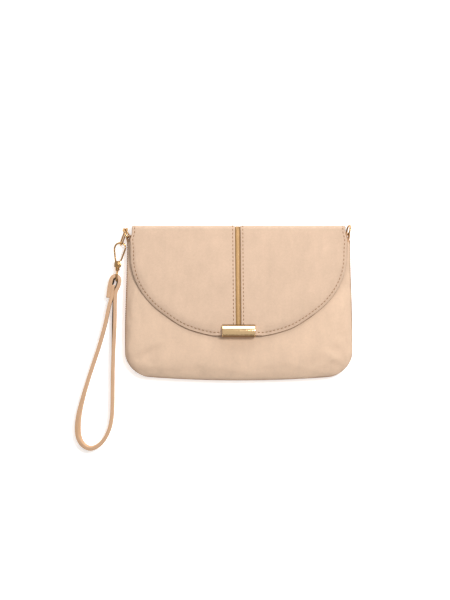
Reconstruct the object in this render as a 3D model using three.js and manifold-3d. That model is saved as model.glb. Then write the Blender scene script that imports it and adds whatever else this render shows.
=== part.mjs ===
// A wristlet wallet: a soft suede clutch with a half-moon flap, a gold bar on the flap's tip, and a wrist
// strap that hangs from a ring at the left corner on a swivel snap hook. Millimetres, +Z up.
// It lies on its back: +X is to the right of the front, +Y is towards the fold of the flap and +Z is out
// of the front. The origin is the middle of the flat back.
import * as THREE from 'three';
import { mergeVertices } from 'three/addons/utils/BufferGeometryUtils.js';
import Module from 'manifold-3d';

const wasm = await Module();
wasm.setup();

// ---- Driving dimensions ----

// The pouch: two shells that meet in a seam round the sides and the bottom.
const TOP_HALF_WIDTH = 102.4;      // beside the ring tabs
const SHOULDER_HALF_WIDTH = 108.2; // just below the ring tabs
const HALF_WIDTH = 110.2;
const SHOULDER_Y = 52.5;
const SHOULDER_LENGTH = 3.4;
const WIDEST_Y = -30;
const BOTTOM_Y = -75.6;
const BOTTOM_BOW = 5.2;            // the bottom edge is this much higher at the sides than in the middle
const CORNER_RADIUS = 24;
const BACK_TOP_Y = 71.5;
const MOUTH_Y = 66;                // top edge of the front
const SEAM_Z = 9;
const FRONT_RISE = 8.7;            // from the seam to the crown of the front
const MOUTH_RISE = 0.5;            // share of that rise left at the mouth
const FULLEST_Y = -20;
const SHELL = 1.6;
const GAP = 0.3;
const LINING = 0.7;
const FRONT_LINING_INSET = 3;
const BOARD = 1;
const BACK_LINING_INSET = SHELL + GAP + BOARD + GAP;

// The flap and the strip over the fold.
const FOLD_Y = 74.5;
const FLAP_HALF_WIDTH = 105.3;
const FLAP_TOP_HALF_WIDTH = 103.4;
const FLAP_SHOULDER_Y = 45;        // the half-moon starts here
const FLAP_TIP_Y = -32.6;
const FLAP_START_Z = 13.3;         // inner face at the fold
const FLAP_RISE = 8.9;
const FLAP_SIDE_DROP = 3;
const FLAP_BOARD = 1.2;
const BOARD_INSET = 6;
const SUEDE = 1;
const FLAP_STACK = LINING + GAP + FLAP_BOARD + GAP + SUEDE;
const BACK_HINGE = { y: 73.3, z: 1.2 };
const FRONT_HINGE = { y: 73.3, z: 15.6 };
const SPINE_INNER_Y = 72.3;
const INLAY_HALF_WIDTH = 2.25;

// The bar on the flap's tip.
const BAR_LENGTH = 32;
const BAR_WIDTH = 12.2;
const BAR_BOTTOM_Y = -33.6;
const BAR_HEIGHT = 5.2;            // above the flap
const BAR_WALL = 0.9;

// The magnetic snap.
const SNAP_Y = -8;
const SNAP_RADIUS = 8;
const SNAP_BOSS_RADIUS = 2.6;
const WASHER_RADIUS = 5.5;
const WASHER = 0.5;

// The rings, the hook and the strap.
const RING_WIRE = 0.9;             // radius
const RING_HALF_WIDTH = 4.6;
const RING_HEIGHT = 9.4;
const RING_CORNER = 1.3;
const RING_Z = 8.2;
const RING_TILT = THREE.MathUtils.degToRad(15);
const LEFT_RING = { x: -106.9, y: 63.4, lean: THREE.MathUtils.degToRad(31) };
const RIGHT_RING = { x: 105.7, y: 65.6, lean: THREE.MathUtils.degToRad(-12) };
const TAB_LENGTH = 6.6;
const TAB_HALF_THICKNESS = 1.9;
const TAB_HALF_WIDTH = 2.9;
const LINK_WIRE = 0.8;
const LINK_HALF_WIDTH = 4.3;
const LINK_LENGTH = 17.6;          // along the middle of its wire
const LINK_FOOT = { x: -114.8, y: 55.6, z: 5.3 };
const LINK_LEAN = THREE.MathUtils.degToRad(-20.5);
const LINK_TILT = THREE.MathUtils.degToRad(14);
const HOOK = { x: -117.4, y: 36.8, z: 6.5, lean: THREE.MathUtils.degToRad(-5.2) };
const HOOK_WIRE = 0.9;
const EYE_BAR_Y = -15.8;           // in the hook's own frame
const EYE_TOP_Y = -7.2;
const EYE_WIRE = 0.85;
const STRAP_WIDTH = 9;
const STRAP_THICKNESS = 3.1;
const STRAP_LIFT = 2;              // of the fold above the table

// ---- Helpers ----

const smooth = (t) => {
  const k = THREE.MathUtils.clamp(t, 0, 1);
  return k * k * (3 - 2 * k);
};

function bare(geometry) {
  geometry.deleteAttribute('normal');
  geometry.deleteAttribute('uv');
  return mergeVertices(geometry, 1e-4);
}

// A box of nu by nv by one cells, each corner moved to place(u, v, w), with u, v and w from 0 to 1.
function warpedBox(nu, nv, place) {
  const geometry = bare(new THREE.BoxGeometry(1, 1, 1, nu, nv, 1));
  const position = geometry.attributes.position;
  for (let i = 0; i < position.count; i++) {
    const [u, v, w] = [position.getX(i) + 0.5, position.getY(i) + 0.5, position.getZ(i) + 0.5];
    position.setXYZ(i, ...place(u, v, w));
  }
  return geometry;
}

// A torus bent onto a closed flat path that runs anticlockwise, so that it becomes a loop of round wire.
function wireLoop(path, wireRadius, steps, sides = 8) {
  const geometry = bare(new THREE.TorusGeometry(10, wireRadius, sides, steps));
  const position = geometry.attributes.position;
  for (let i = 0; i < position.count; i++) {
    const [x, y, z] = [position.getX(i), position.getY(i), position.getZ(i)];
    const along = (Math.atan2(y, x) / (2 * Math.PI) + 1) % 1;
    const outward = Math.hypot(x, y) - 10;
    const point = path.getPointAt(along);
    const tangent = path.getTangentAt(along);
    position.setXYZ(i, point.x + tangent.y * outward, point.y - tangent.x * outward, z);
  }
  return geometry;
}

function solid(geometry) {
  const merged = bare(geometry.clone());
  return new wasm.Manifold(new wasm.Mesh({
    numProp: 3,
    vertProperties: merged.attributes.position.array,
    triVerts: new Uint32Array(merged.index.array),
  }));
}

function geometryOf(manifold) {
  const { vertProperties, triVerts } = manifold.getMesh();
  const geometry = new THREE.BufferGeometry();
  geometry.setAttribute('position', new THREE.BufferAttribute(vertProperties, 3));
  geometry.setIndex(new THREE.BufferAttribute(triVerts, 1));
  return geometry;
}

// A flat outline given thickness from z = low to z = high.
function plate(shape, low, high, curveSegments = 12) {
  const settings = { depth: high - low, bevelEnabled: false, curveSegments };
  return new THREE.ExtrudeGeometry(shape, settings).translate(0, 0, low);
}

function rectangle(x0, x1, y0, y1) {
  const shape = new THREE.Shape();
  shape.moveTo(x0, y0).lineTo(x1, y0).lineTo(x1, y1).lineTo(x0, y1);
  return shape;
}

function disc(radius, hole = 0) {
  const shape = new THREE.Shape().absarc(0, 0, radius, 0, 2 * Math.PI);
  if (hole > 0) shape.holes.push(new THREE.Path().absarc(0, 0, hole, 0, 2 * Math.PI));
  return shape;
}

// Straight wire ends and bends along points, with a round section.
function bentWire(points, radius, steps) {
  const curve = new THREE.CatmullRomCurve3(points.map(([x, y]) => new THREE.Vector3(x, y, 0)));
  const section = new THREE.Shape().absarc(0, 0, radius, 0, 2 * Math.PI);
  return new THREE.ExtrudeGeometry(section, { steps, extrudePath: curve, curveSegments: 4 });
}

// A loop like the letter D: a straight bar at y = 0 and an arch as high as height over it.
function dPath(halfWidth, height, corner) {
  const path = new THREE.Path();
  path.moveTo(corner - halfWidth, 0).lineTo(halfWidth - corner, 0);
  path.absarc(halfWidth - corner, corner, corner, -Math.PI / 2, 0);
  path.lineTo(halfWidth, height - halfWidth);
  path.absarc(0, height - halfWidth, halfWidth, 0, Math.PI);
  path.lineTo(-halfWidth, corner);
  path.absarc(corner - halfWidth, corner, corner, Math.PI, 1.5 * Math.PI);
  return path;
}

// A loop with straight sides, from y = 0 to y = height, with rounded corners.
function roundedPath(halfWidth, height, corner) {
  const path = new THREE.Path();
  path.moveTo(corner - halfWidth, 0);
  if (halfWidth > corner) path.lineTo(halfWidth - corner, 0);
  path.absarc(halfWidth - corner, corner, corner, -Math.PI / 2, 0);
  path.lineTo(halfWidth, height - corner);
  path.absarc(halfWidth - corner, height - corner, corner, 0, Math.PI / 2);
  if (halfWidth > corner) path.lineTo(corner - halfWidth, height);
  path.absarc(corner - halfWidth, height - corner, corner, Math.PI / 2, Math.PI);
  path.lineTo(-halfWidth, corner);
  path.absarc(corner - halfWidth, corner, corner, Math.PI, 1.5 * Math.PI);
  return path;
}

// ---- Materials ----

function finish(color, roughness, metalness = 0) {
  return new THREE.MeshStandardMaterial({ color, roughness, metalness });
}

const MATERIAL = {
  suede: () => finish(0xe5c5a6, 0.95),
  flap: () => finish(0xe8c9ac, 0.95),
  inlay: () => finish(0xd2a878, 0.5, 0.2),
  leather: () => finish(0xd6a880, 0.55),
  lining: () => finish(0xd9c3a8, 0.8),
  board: () => finish(0xbfae97, 0.9),
  gold: () => finish(0xd9b47c, 0.25, 1),
  zip: () => finish(0xcdb594, 0.85),
};

const wallet = new THREE.Group();

function add(name, geometry, material, parent = wallet) {
  const mesh = new THREE.Mesh(geometry, MATERIAL[material]());
  mesh.name = name;
  parent.add(mesh);
  return mesh;
}

// ---- The pouch ----

// Half the pouch's width at a height on the front, drawn in by inset all round.
function halfWidthAt(y, inset) {
  const towardsShoulder = smooth((y - WIDEST_Y) / (SHOULDER_Y - WIDEST_Y));
  const sideWidth = THREE.MathUtils.lerp(HALF_WIDTH, SHOULDER_HALF_WIDTH, towardsShoulder);
  const narrowing = (SHOULDER_HALF_WIDTH - TOP_HALF_WIDTH) * smooth((y - SHOULDER_Y) / SHOULDER_LENGTH);
  const radius = CORNER_RADIUS - inset;
  const intoCorner = Math.max(0, radius - (y - BOTTOM_Y - inset));
  return sideWidth - narrowing - inset - radius + Math.sqrt(Math.max(0, radius ** 2 - intoCorner ** 2));
}

// Share of the front's rise at a height on it: full at FULLEST_Y, less at the mouth, none at the bottom.
function crown(y) {
  if (y > FULLEST_Y) {
    return 1 - (1 - MOUTH_RISE) * ((y - FULLEST_Y) / (MOUTH_Y - FULLEST_Y)) ** 1.5;
  }
  return Math.max(0, 1 - ((FULLEST_Y - y) / (FULLEST_Y - BOTTOM_Y)) ** 3) ** 0.45;
}

// Lifts a height on the front or the back towards the sides, most of all along the bottom.
function bowed(x, y) {
  return y + BOTTOM_BOW * (x / HALF_WIDTH) ** 2 * smooth((FULLEST_Y - y) / (FULLEST_Y - BOTTOM_Y));
}

// How far the back curls up to the seam, from 0 on the flat to 1 at the seam.
function curl(across, y, bottom) {
  const side = Math.max(0, (Math.abs(across) - 0.86) / 0.14) ** 2;
  const foot = THREE.MathUtils.clamp((bottom + 16 - y) / 16, 0, 1) ** 2;
  return 1 - (1 - side) * (1 - foot);
}

// Columns lie closer together near the sides. Of the rows, the lower ones lie closer together near the
// bottom, and the upper ones are spread evenly from the shoulder to the top.
const COLUMNS = 20;
const ROWS = 15;
const ROWS_BELOW_SHOULDER = 11;
const spreadColumns = (u) => Math.sin((u - 0.5) * Math.PI * 0.94) / Math.sin(0.47 * Math.PI);

function rowHeight(v, bottom, top) {
  const row = Math.round(v * ROWS);
  if (row > ROWS_BELOW_SHOULDER) {
    const share = (row - ROWS_BELOW_SHOULDER) / (ROWS - ROWS_BELOW_SHOULDER);
    return THREE.MathUtils.lerp(SHOULDER_Y, top, share);
  }
  const share = row / ROWS_BELOW_SHOULDER;
  return THREE.MathUtils.lerp(bottom, SHOULDER_Y, 0.5 * share ** 1.8 + 0.5 * share);
}

// A layer of the front between two insets, from the bottom seam up to y1.
function frontLayer(outer, inner, y1 = MOUTH_Y) {
  return warpedBox(COLUMNS, ROWS, (u, v, w) => {
    const inset = THREE.MathUtils.lerp(inner, outer, w);
    const across = spreadColumns(u);
    const bottom = BOTTOM_Y + inset;
    const y = rowHeight(v, bottom, y1);
    const rise = Math.max(0, FRONT_RISE * crown(y - inset * (y1 - y) / (y1 - bottom)) - inset);
    const x = across * halfWidthAt(y, inset);
    return [x, bowed(x, y), SEAM_Z + GAP + rise * Math.sqrt(1 - across ** 6)];
  });
}

function backLayer(outer, inner, y1 = BACK_TOP_Y) {
  return warpedBox(COLUMNS, ROWS, (u, v, w) => {
    const inset = THREE.MathUtils.lerp(outer, inner, w);
    const across = spreadColumns(u);
    const bottom = BOTTOM_Y + inset;
    const y = rowHeight(v, bottom, y1);
    const x = across * halfWidthAt(y, inset);
    return [x, bowed(x, y), SEAM_Z - (SEAM_Z - inset) * (1 - curl(across, y, bottom))];
  });
}

// A patch that hangs parallel to the front, at a depth below its outer face.
function frontPatch(x0, x1, y0, y1, depth, thickness) {
  return warpedBox(8, 6, (u, v, w) => {
    const x = THREE.MathUtils.lerp(x0, x1, u);
    const y = THREE.MathUtils.lerp(y0, y1, v);
    const rise = FRONT_RISE * crown(y) * Math.sqrt(1 - (x / halfWidthAt(y, 0)) ** 6);
    return [x, y, SEAM_Z + GAP + rise - depth - thickness * (1 - w)];
  });
}

function addPouch() {
  add('back_panel', backLayer(0, SHELL), 'suede');
  add('front_panel', frontLayer(0, SHELL), 'suede');

  const board = new THREE.Shape();
  board.moveTo(-74, -54).lineTo(74, -54).quadraticCurveTo(88, -54, 88, -40);
  board.lineTo(86, 68).lineTo(-86, 68).lineTo(-88, -40).quadraticCurveTo(-88, -54, -74, -54);
  add('back_board', plate(board, SHELL + GAP, SHELL + GAP + BOARD, 4), 'board');

  add('back_lining', backLayer(BACK_LINING_INSET, BACK_LINING_INSET + LINING, BACK_TOP_Y - 1.5), 'lining');
  add('front_lining', frontLayer(FRONT_LINING_INSET, FRONT_LINING_INSET + LINING, MOUTH_Y - 0.5), 'lining');
  const facingDepth = FRONT_LINING_INSET + LINING + GAP;
  add('mouth_facing', frontPatch(-92, 92, 55, MOUTH_Y - 1, facingDepth, 0.6), 'suede');
}

// ---- Inside the pouch ----

const LINING_Z = BACK_LINING_INSET + LINING;

function addZipPocket() {
  const low = LINING_Z + GAP;
  const [left, right] = [-80, 80];
  add('zip_pocket_panel', plate(rectangle(left, right, -42, 22), low, low + LINING), 'lining');
  add('zip_pocket_top_strip', plate(rectangle(left, right, 34, 46), low, low + LINING), 'lining');
  add('zip_tape_lower', plate(rectangle(left, right, 22.3, 26.5), low, low + 0.4), 'zip');
  add('zip_tape_upper', plate(rectangle(left, right, 29.5, 33.7), low, low + 0.4), 'zip');
  add('zip_teeth_lower', plate(rectangle(-74, 74, 26.8, 27.85), low, low + 1.1), 'gold');
  add('zip_teeth_upper', plate(rectangle(-74, 74, 28.15, 29.2), low, low + 1.1), 'gold');
  for (const [side, x] of [['left', -77.5], ['right', 74.5]]) {
    add(`zip_stop_${side}`, plate(rectangle(x, x + 3, 26.8, 29.2), low, low + 1.6), 'gold');
  }

  // The slider is a channel over both rows of teeth, with two ears on top that hold the pull.
  const roof = low + 1.4;
  let slider = solid(plate(rectangle(-73.5, -66.5, 25.7, 30.3), low + 0.7, roof + 0.8));
  slider = slider.subtract(solid(plate(rectangle(-75, -65, 26.5, 29.5), low, roof)));
  for (const y of [26.7, 28.7]) {
    slider = slider.add(solid(plate(rectangle(-72, -69.6, y, y + 0.6), roof + 0.5, roof + 2.2)));
  }
  add('zip_slider', geometryOf(slider), 'gold');
  const pull = new THREE.Shape();
  pull.moveTo(-71.6, 27.6).lineTo(-68.6, 27.6).lineTo(-67.6, 26.4).lineTo(-61.6, 26.4);
  pull.lineTo(-61.6, 29.6).lineTo(-67.6, 29.6).lineTo(-68.6, 28.4).lineTo(-71.6, 28.4);
  add('zip_pull', plate(pull, roof + 1.1, roof + 1.8), 'gold');
}

function addCardSlots() {
  const depth = FRONT_LINING_INSET + LINING + GAP;
  add('card_panel', frontPatch(-48, 48, -44, 20, depth, 0.5), 'lining');
  const slots = 3;
  for (let i = 0; i < slots; i++) {
    const below = depth + 0.5 + GAP + i * (0.5 + GAP);
    add(`card_slot_${i + 1}`, frontPatch(-47, 47, -43, 12 - i * 13, below, 0.5), 'lining');
  }
}

// ---- The flap ----

function flapHalfWidth(y) {
  return FLAP_HALF_WIDTH - (FLAP_HALF_WIDTH - FLAP_TOP_HALF_WIDTH) * smooth((y - 60) / 9);
}

// Lower edge of the half-moon at x.
function flapEdge(x, inset) {
  const reach = Math.min(1, Math.abs(x) / (FLAP_HALF_WIDTH - inset));
  const height = FLAP_SHOULDER_Y - FLAP_TIP_Y - inset;
  return FLAP_SHOULDER_Y - height * (1 - reach ** 2.05) ** (1 / 2.05);
}

function flapInnerZ(x, y) {
  const along = (BACK_TOP_Y - y) / (BACK_TOP_Y - FLAP_TIP_Y);
  const rise = FLAP_RISE * (1 - Math.max(0, 1 - along) ** 1.6);
  return FLAP_START_Z + rise - FLAP_SIDE_DROP * along * (x / FLAP_HALF_WIDTH) ** 4;
}

// A layer of the flap from x0 to x1, between two heights above the flap's inner face.
function flapLayer(x0, x1, inset, low, high, columns = 12, rows = 10) {
  return warpedBox(columns, rows, (u, v, w) => {
    const reach = THREE.MathUtils.lerp(x0, x1, u);
    const bottom = flapEdge(reach, inset);
    const y = THREE.MathUtils.lerp(bottom, BACK_TOP_Y, v);
    const x = reach * flapHalfWidth(y) / FLAP_HALF_WIDTH;
    return [x, y, flapInnerZ(x, y) + THREE.MathUtils.lerp(low, high, w)];
  });
}

// The clip's section, drawn with x towards the fold and y up, round a slot for the edge of the flap.
function barSection(slotLow, slotHigh) {
  const [bottom, top] = [BAR_BOTTOM_Y, BAR_BOTTOM_Y + BAR_WIDTH];
  const middle = (bottom + top) / 2;
  const back = slotLow - BAR_WALL;
  const section = new THREE.Shape();
  section.moveTo(top, slotHigh);
  section.absellipse(middle, slotHigh, BAR_WIDTH / 2, BAR_HEIGHT, 0, Math.PI);
  section.lineTo(bottom, back + 0.8).lineTo(bottom + 0.8, back).lineTo(top - 1.5, back);
  section.lineTo(top - 1.5, slotLow).lineTo(bottom + BAR_WALL, slotLow).lineTo(bottom + BAR_WALL, slotHigh);
  return section;
}

function addFlap() {
  const board = LINING + GAP;
  const skin = board + FLAP_BOARD + GAP;
  const half = INLAY_HALF_WIDTH + GAP;
  add('flap_left', flapLayer(-FLAP_HALF_WIDTH, -half, 0, skin, skin + SUEDE), 'flap');
  add('flap_right', flapLayer(half, FLAP_HALF_WIDTH, 0, skin, skin + SUEDE), 'flap');
  add('flap_inlay', flapLayer(-INLAY_HALF_WIDTH, INLAY_HALF_WIDTH, 0, skin, skin + 0.7, 1, 14), 'inlay');
  add('flap_lining', flapLayer(1 - FLAP_HALF_WIDTH, FLAP_HALF_WIDTH - 1, 1, 0, LINING, 20, 10), 'lining');

  // The board has a round window where the snap's washer sits.
  const reach = FLAP_HALF_WIDTH - BOARD_INSET;
  const boardSolid = solid(flapLayer(-reach, reach, BOARD_INSET, board, board + FLAP_BOARD, 16, 8));
  const window = new THREE.CylinderGeometry(SNAP_RADIUS, SNAP_RADIUS, 20, 24).rotateX(Math.PI / 2);
  window.translate(0, SNAP_Y, flapInnerZ(0, SNAP_Y));
  add('flap_board', geometryOf(boardSolid.subtract(solid(window))), 'board');

  const tipZ = flapInnerZ(0, FLAP_TIP_Y);
  const slotLow = flapInnerZ(0, BAR_BOTTOM_Y + BAR_WIDTH) - 0.4;
  const section = barSection(slotLow, tipZ + FLAP_STACK + GAP);
  const settings = { depth: BAR_LENGTH, bevelEnabled: false, curveSegments: 14 };
  const bar = new THREE.ExtrudeGeometry(section, settings);
  // The section's x and y become the wallet's y and z, and its depth runs along x.
  const turn = new THREE.Matrix4().makeBasis(
    new THREE.Vector3(0, 1, 0), new THREE.Vector3(0, 0, 1), new THREE.Vector3(1, 0, 0));
  bar.applyMatrix4(turn).translate(-BAR_LENGTH / 2, 0, 0);
  add('clasp_bar', bar, 'gold');
}

// The strip over the fold turns between two hinge lines, along its back edge and its front edge.
function addSpine() {
  const [low, high] = [BACK_HINGE.z + 1.5, FRONT_HINGE.z - 1.6];
  const strip = (x0, x1, y0, y1) => plate(rectangle(x0, x1, y0, y1), low, high);
  const skinY = SPINE_INNER_Y + LINING + GAP;
  const half = INLAY_HALF_WIDTH + GAP;
  add('spine_left', strip(-FLAP_TOP_HALF_WIDTH, -half, skinY, FOLD_Y), 'flap');
  add('spine_right', strip(half, FLAP_TOP_HALF_WIDTH, skinY, FOLD_Y), 'flap');
  add('spine_inlay', strip(-INLAY_HALF_WIDTH, INLAY_HALF_WIDTH, skinY, FOLD_Y - 0.4), 'inlay');
  const reach = FLAP_TOP_HALF_WIDTH - 1;
  add('spine_lining', strip(-reach, reach, SPINE_INNER_Y, SPINE_INNER_Y + LINING), 'lining');
}

function addSnap() {
  const frontZ = (y) => SEAM_Z + GAP + FRONT_RISE * crown(y);
  const addWasher = (name, low) => {
    add(name, plate(disc(WASHER_RADIUS, 2), low, low + WASHER).translate(0, SNAP_Y, 0), 'gold');
  };

  const socketLow = frontZ(FULLEST_Y) + GAP;
  let socket = solid(plate(disc(SNAP_RADIUS), socketLow, socketLow + 1.2));
  socket = socket.subtract(solid(plate(disc(SNAP_BOSS_RADIUS + 0.6), socketLow + 0.3, socketLow + 2)));
  add('snap_socket', geometryOf(socket).translate(0, SNAP_Y, 0), 'gold');
  addWasher('snap_socket_washer', frontZ(SNAP_Y + WASHER_RADIUS) - SHELL - GAP - WASHER);

  const studHigh = flapInnerZ(0, SNAP_Y + SNAP_RADIUS) - GAP;
  const stud = solid(plate(disc(SNAP_RADIUS), studHigh - 0.8, studHigh))
    .add(solid(plate(disc(SNAP_BOSS_RADIUS), studHigh - 1.7, studHigh - 0.5)));
  add('snap_stud', geometryOf(stud).translate(0, SNAP_Y, 0), 'gold');
  addWasher('snap_stud_washer', flapInnerZ(0, SNAP_Y - WASHER_RADIUS) + LINING + GAP);
}

// ---- Rings, hook and strap ----

// A frame at a ring's bar: x runs up along the bar, which is tilted about the ring's arch, and y along the
// arch, or as near to another direction as the bar allows.
function frameAtBar(ring, tilt, along) {
  const arch = new THREE.Vector3(-Math.sin(ring.lean), Math.cos(ring.lean), 0);
  const up = new THREE.Vector3(0, 0, 1).applyAxisAngle(arch, tilt);
  const y = (along ?? arch).clone().projectOnPlane(up).normalize();
  const frame = new THREE.Group();
  const across = new THREE.Vector3().crossVectors(up, y);
  frame.setRotationFromMatrix(new THREE.Matrix4().makeBasis(up, y, across));
  frame.position.set(ring.x, ring.y, RING_Z);
  wallet.add(frame);
  return frame;
}

function addRing(side, ring, tilt) {
  const loop = wireLoop(dPath(RING_HALF_WIDTH, RING_HEIGHT, RING_CORNER), RING_WIRE, 34);
  add(`d_ring_${side}`, loop, 'gold', frameAtBar(ring, tilt));

  // The tab is a leather strip folded over the ring's bar, with its ends sewn into the side seam.
  const tab = new THREE.Shape();
  tab.moveTo(-TAB_HALF_THICKNESS, -TAB_LENGTH).lineTo(TAB_HALF_THICKNESS, -TAB_LENGTH);
  tab.absarc(0, 0, TAB_HALF_THICKNESS + 0.05, -0.2, Math.PI + 0.2);
  tab.holes.push(new THREE.Path().absarc(0, 0, RING_WIRE + 0.2, 0, 2 * Math.PI));
  const geometry = plate(tab, -TAB_HALF_WIDTH, TAB_HALF_WIDTH, 10).rotateY(Math.PI / 2);
  add(`ring_tab_${side}`, geometry, 'leather', frameAtBar(ring, tilt, new THREE.Vector3(0, 1, 0)));
}

function addLink() {
  const loop = wireLoop(roundedPath(LINK_HALF_WIDTH, LINK_LENGTH, LINK_HALF_WIDTH), LINK_WIRE, 36);
  const link = add('link_ring', loop, 'gold');
  const along = new THREE.Vector3(-Math.sin(LINK_LEAN), Math.cos(LINK_LEAN), 0);
  const up = new THREE.Vector3(0, 0, 1).applyAxisAngle(along, LINK_TILT);
  const across = new THREE.Vector3().crossVectors(up, along);
  link.setRotationFromMatrix(new THREE.Matrix4().makeBasis(up, along, across));
  link.position.set(LINK_FOOT.x, LINK_FOOT.y, LINK_FOOT.z);
}

// The hook's own frame has the rivet at its origin and y towards the top of the loop.
function addHook() {
  const frame = new THREE.Group();
  frame.position.set(HOOK.x, HOOK.y, HOOK.z);
  frame.rotation.z = HOOK.lean;
  wallet.add(frame);

  const base = new THREE.Shape();
  base.moveTo(-2.6, -3).lineTo(2.6, -3).lineTo(3.6, -1.4).lineTo(3.3, 3.4).lineTo(2.6, 4);
  base.lineTo(-2.4, 4).lineTo(-3.4, 3.2).lineTo(-3.5, -1.6);
  const arm = [
    [-2.5, 2.2], [-3.3, 7], [-4.4, 12.5], [-4.5, 16.4],
    [-3, 19.6], [0.2, 21.2], [3.4, 20.6], [5.6, 18.6],
  ];
  const barrel = new THREE.CylinderGeometry(2.2, 2.2, 3.4, 20).translate(0, -4.5, 0);
  const stemBore = new THREE.CylinderGeometry(1.1, 1.1, 4, 16).translate(0, -5.4, 0);
  const headBore = new THREE.CylinderGeometry(1.6, 1.6, 2.4, 16).translate(0, -3.4, 0);
  let body = solid(plate(base, -1.5, 1.5)).add(solid(bentWire(arm, HOOK_WIRE, 26))).add(solid(barrel));
  body = body.subtract(solid(plate(rectangle(-2.3, 5, -2.3, 5), -0.85, 0.85)));
  body = body.subtract(solid(stemBore)).subtract(solid(headBore));
  body = body.subtract(solid(plate(disc(0.95), -2, 2)));
  add('hook_body', geometryOf(body), 'gold', frame);

  // The gate turns on the rivet, between the two cheeks of the base, and shuts against the hook's nose.
  const gateWire = [[1.5, 0.8], [2.6, 3.6], [4.2, 9.6], [5.7, 15.2], [6, 16.6]];
  let gate = solid(plate(disc(1.5), -0.6, 0.6)).add(solid(bentWire(gateWire, 0.6, 10)));
  gate = gate.subtract(solid(plate(disc(0.95), -2, 2)));
  add('hook_gate', geometryOf(gate), 'gold', frame);
  add('gate_rivet', new THREE.CylinderGeometry(0.7, 0.7, 3, 16).rotateX(Math.PI / 2), 'gold', frame);
  add('gate_spring', plate(rectangle(-2.1, -1.8, -1.6, 3.6), -0.5, 0.5), 'gold', frame);

  // The eye stands across the hook: a stem with a head in the barrel, and a loop whose bar holds the strap.
  const loop = wireLoop(roundedPath(5.55, EYE_TOP_Y - EYE_BAR_Y, 1.9), EYE_WIRE, 36);
  loop.translate(0, EYE_BAR_Y, 0).rotateY(Math.PI / 2);
  const stem = new THREE.CylinderGeometry(0.8, 0.8, 3.8, 14).translate(0, -5.3, 0);
  const head = new THREE.CylinderGeometry(1.3, 1.3, 0.8, 14).translate(0, -3.6, 0);
  add('swivel_eye', geometryOf(solid(loop).add(solid(stem)).add(solid(head))), 'gold', frame);
}

// The middle line of the strap: from its outer end, over the bar of the eye, down the right side, round the
// bottom and up the left side to the end that is sewn in between.
const STRAP_ROUTE = [
  [-126.8, 4.4], [-126.2, 11], [-125.8, 15.9], [-124.8, 20.7], [-123, 24.4], [-119.6, 26],
  [-116.6, 24.4], [-115.8, 20.9], [-117.2, 15.9], [-119.4, 11], [-120.1, 5.2], [-120.5, -2],
  [-120.7, -12], [-121.2, -30], [-121.8, -48], [-122.3, -66], [-122.5, -84], [-122.7, -100],
  [-123.4, -112], [-125.6, -122.5], [-129.6, -131.4], [-135.4, -138.3], [-143.4, -141.9],
  [-150.8, -138.9], [-155.3, -131.6], [-156.4, -122], [-155.2, -109], [-151.2, -92], [-145.9, -74],
  [-140.5, -57.5], [-134.8, -40], [-129.6, -21], [-126.2, -5], [-123.6, 4.4], [-122.8, 11], [-121.7, 17],
];

function strapLow(y) {
  return STRAP_LIFT * smooth((y + 60) / 60);
}

function addStrap() {
  const route = new THREE.CatmullRomCurve3(STRAP_ROUTE.map(([x, y]) => new THREE.Vector3(x, y, 0)));
  const steps = 96;
  const geometry = warpedBox(1, steps, (u, v, w) => {
    const point = route.getPointAt(v);
    const tangent = route.getTangentAt(v);
    const side = (w - 0.5) * STRAP_THICKNESS;
    const z = strapLow(point.y) + u * STRAP_WIDTH;
    return [point.x - tangent.y * side, point.y + tangent.x * side, z];
  });
  add('wrist_strap', geometry, 'leather');
}

addPouch();
addZipPocket();
addCardSlots();
addFlap();
addSpine();
addSnap();
addRing('left', LEFT_RING, -RING_TILT);
addRing('right', RIGHT_RING, RING_TILT);
addLink();
addHook();
addStrap();

export default wallet;
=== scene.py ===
import math

import bmesh
import bpy
import numpy as np
from mathutils import Matrix, Vector, noise


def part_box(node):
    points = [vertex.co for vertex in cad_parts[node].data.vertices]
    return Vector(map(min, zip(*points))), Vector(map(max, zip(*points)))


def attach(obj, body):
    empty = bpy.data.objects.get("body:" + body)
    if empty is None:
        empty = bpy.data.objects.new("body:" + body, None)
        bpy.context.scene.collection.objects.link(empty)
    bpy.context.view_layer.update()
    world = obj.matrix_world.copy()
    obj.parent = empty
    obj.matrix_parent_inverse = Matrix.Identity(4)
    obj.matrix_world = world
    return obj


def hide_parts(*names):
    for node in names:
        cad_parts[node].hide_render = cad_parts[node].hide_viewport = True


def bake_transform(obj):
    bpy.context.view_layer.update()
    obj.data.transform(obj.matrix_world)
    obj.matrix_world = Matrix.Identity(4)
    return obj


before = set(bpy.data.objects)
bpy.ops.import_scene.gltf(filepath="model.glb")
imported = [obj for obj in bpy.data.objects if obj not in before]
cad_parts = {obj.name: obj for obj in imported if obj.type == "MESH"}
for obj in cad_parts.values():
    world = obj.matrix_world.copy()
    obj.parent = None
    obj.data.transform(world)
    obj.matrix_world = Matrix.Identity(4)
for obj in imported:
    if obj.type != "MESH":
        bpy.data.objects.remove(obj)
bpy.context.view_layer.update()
scene = bpy.context.scene

# Lengths are written in millimetres and turned into metres when a mesh is made.
MM = 0.001


def box_mm(node):
    low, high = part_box(node)
    return [c / MM for c in low], [c / MM for c in high]


# ---------------------------------------------------------------- camera, light and floor

def add_camera():
    data = bpy.data.cameras.new("camera")
    distance = 3.0
    seen_height = 0.5814
    data.type = "PERSP"
    data.sensor_width = 36
    data.lens = 36 * (distance - 0.015) / seen_height
    data.clip_end = 20
    camera = bpy.data.objects.new("camera", data)
    camera.location = (-0.0133, 0.0023, distance)
    scene.collection.objects.link(camera)
    scene.camera = camera


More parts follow.
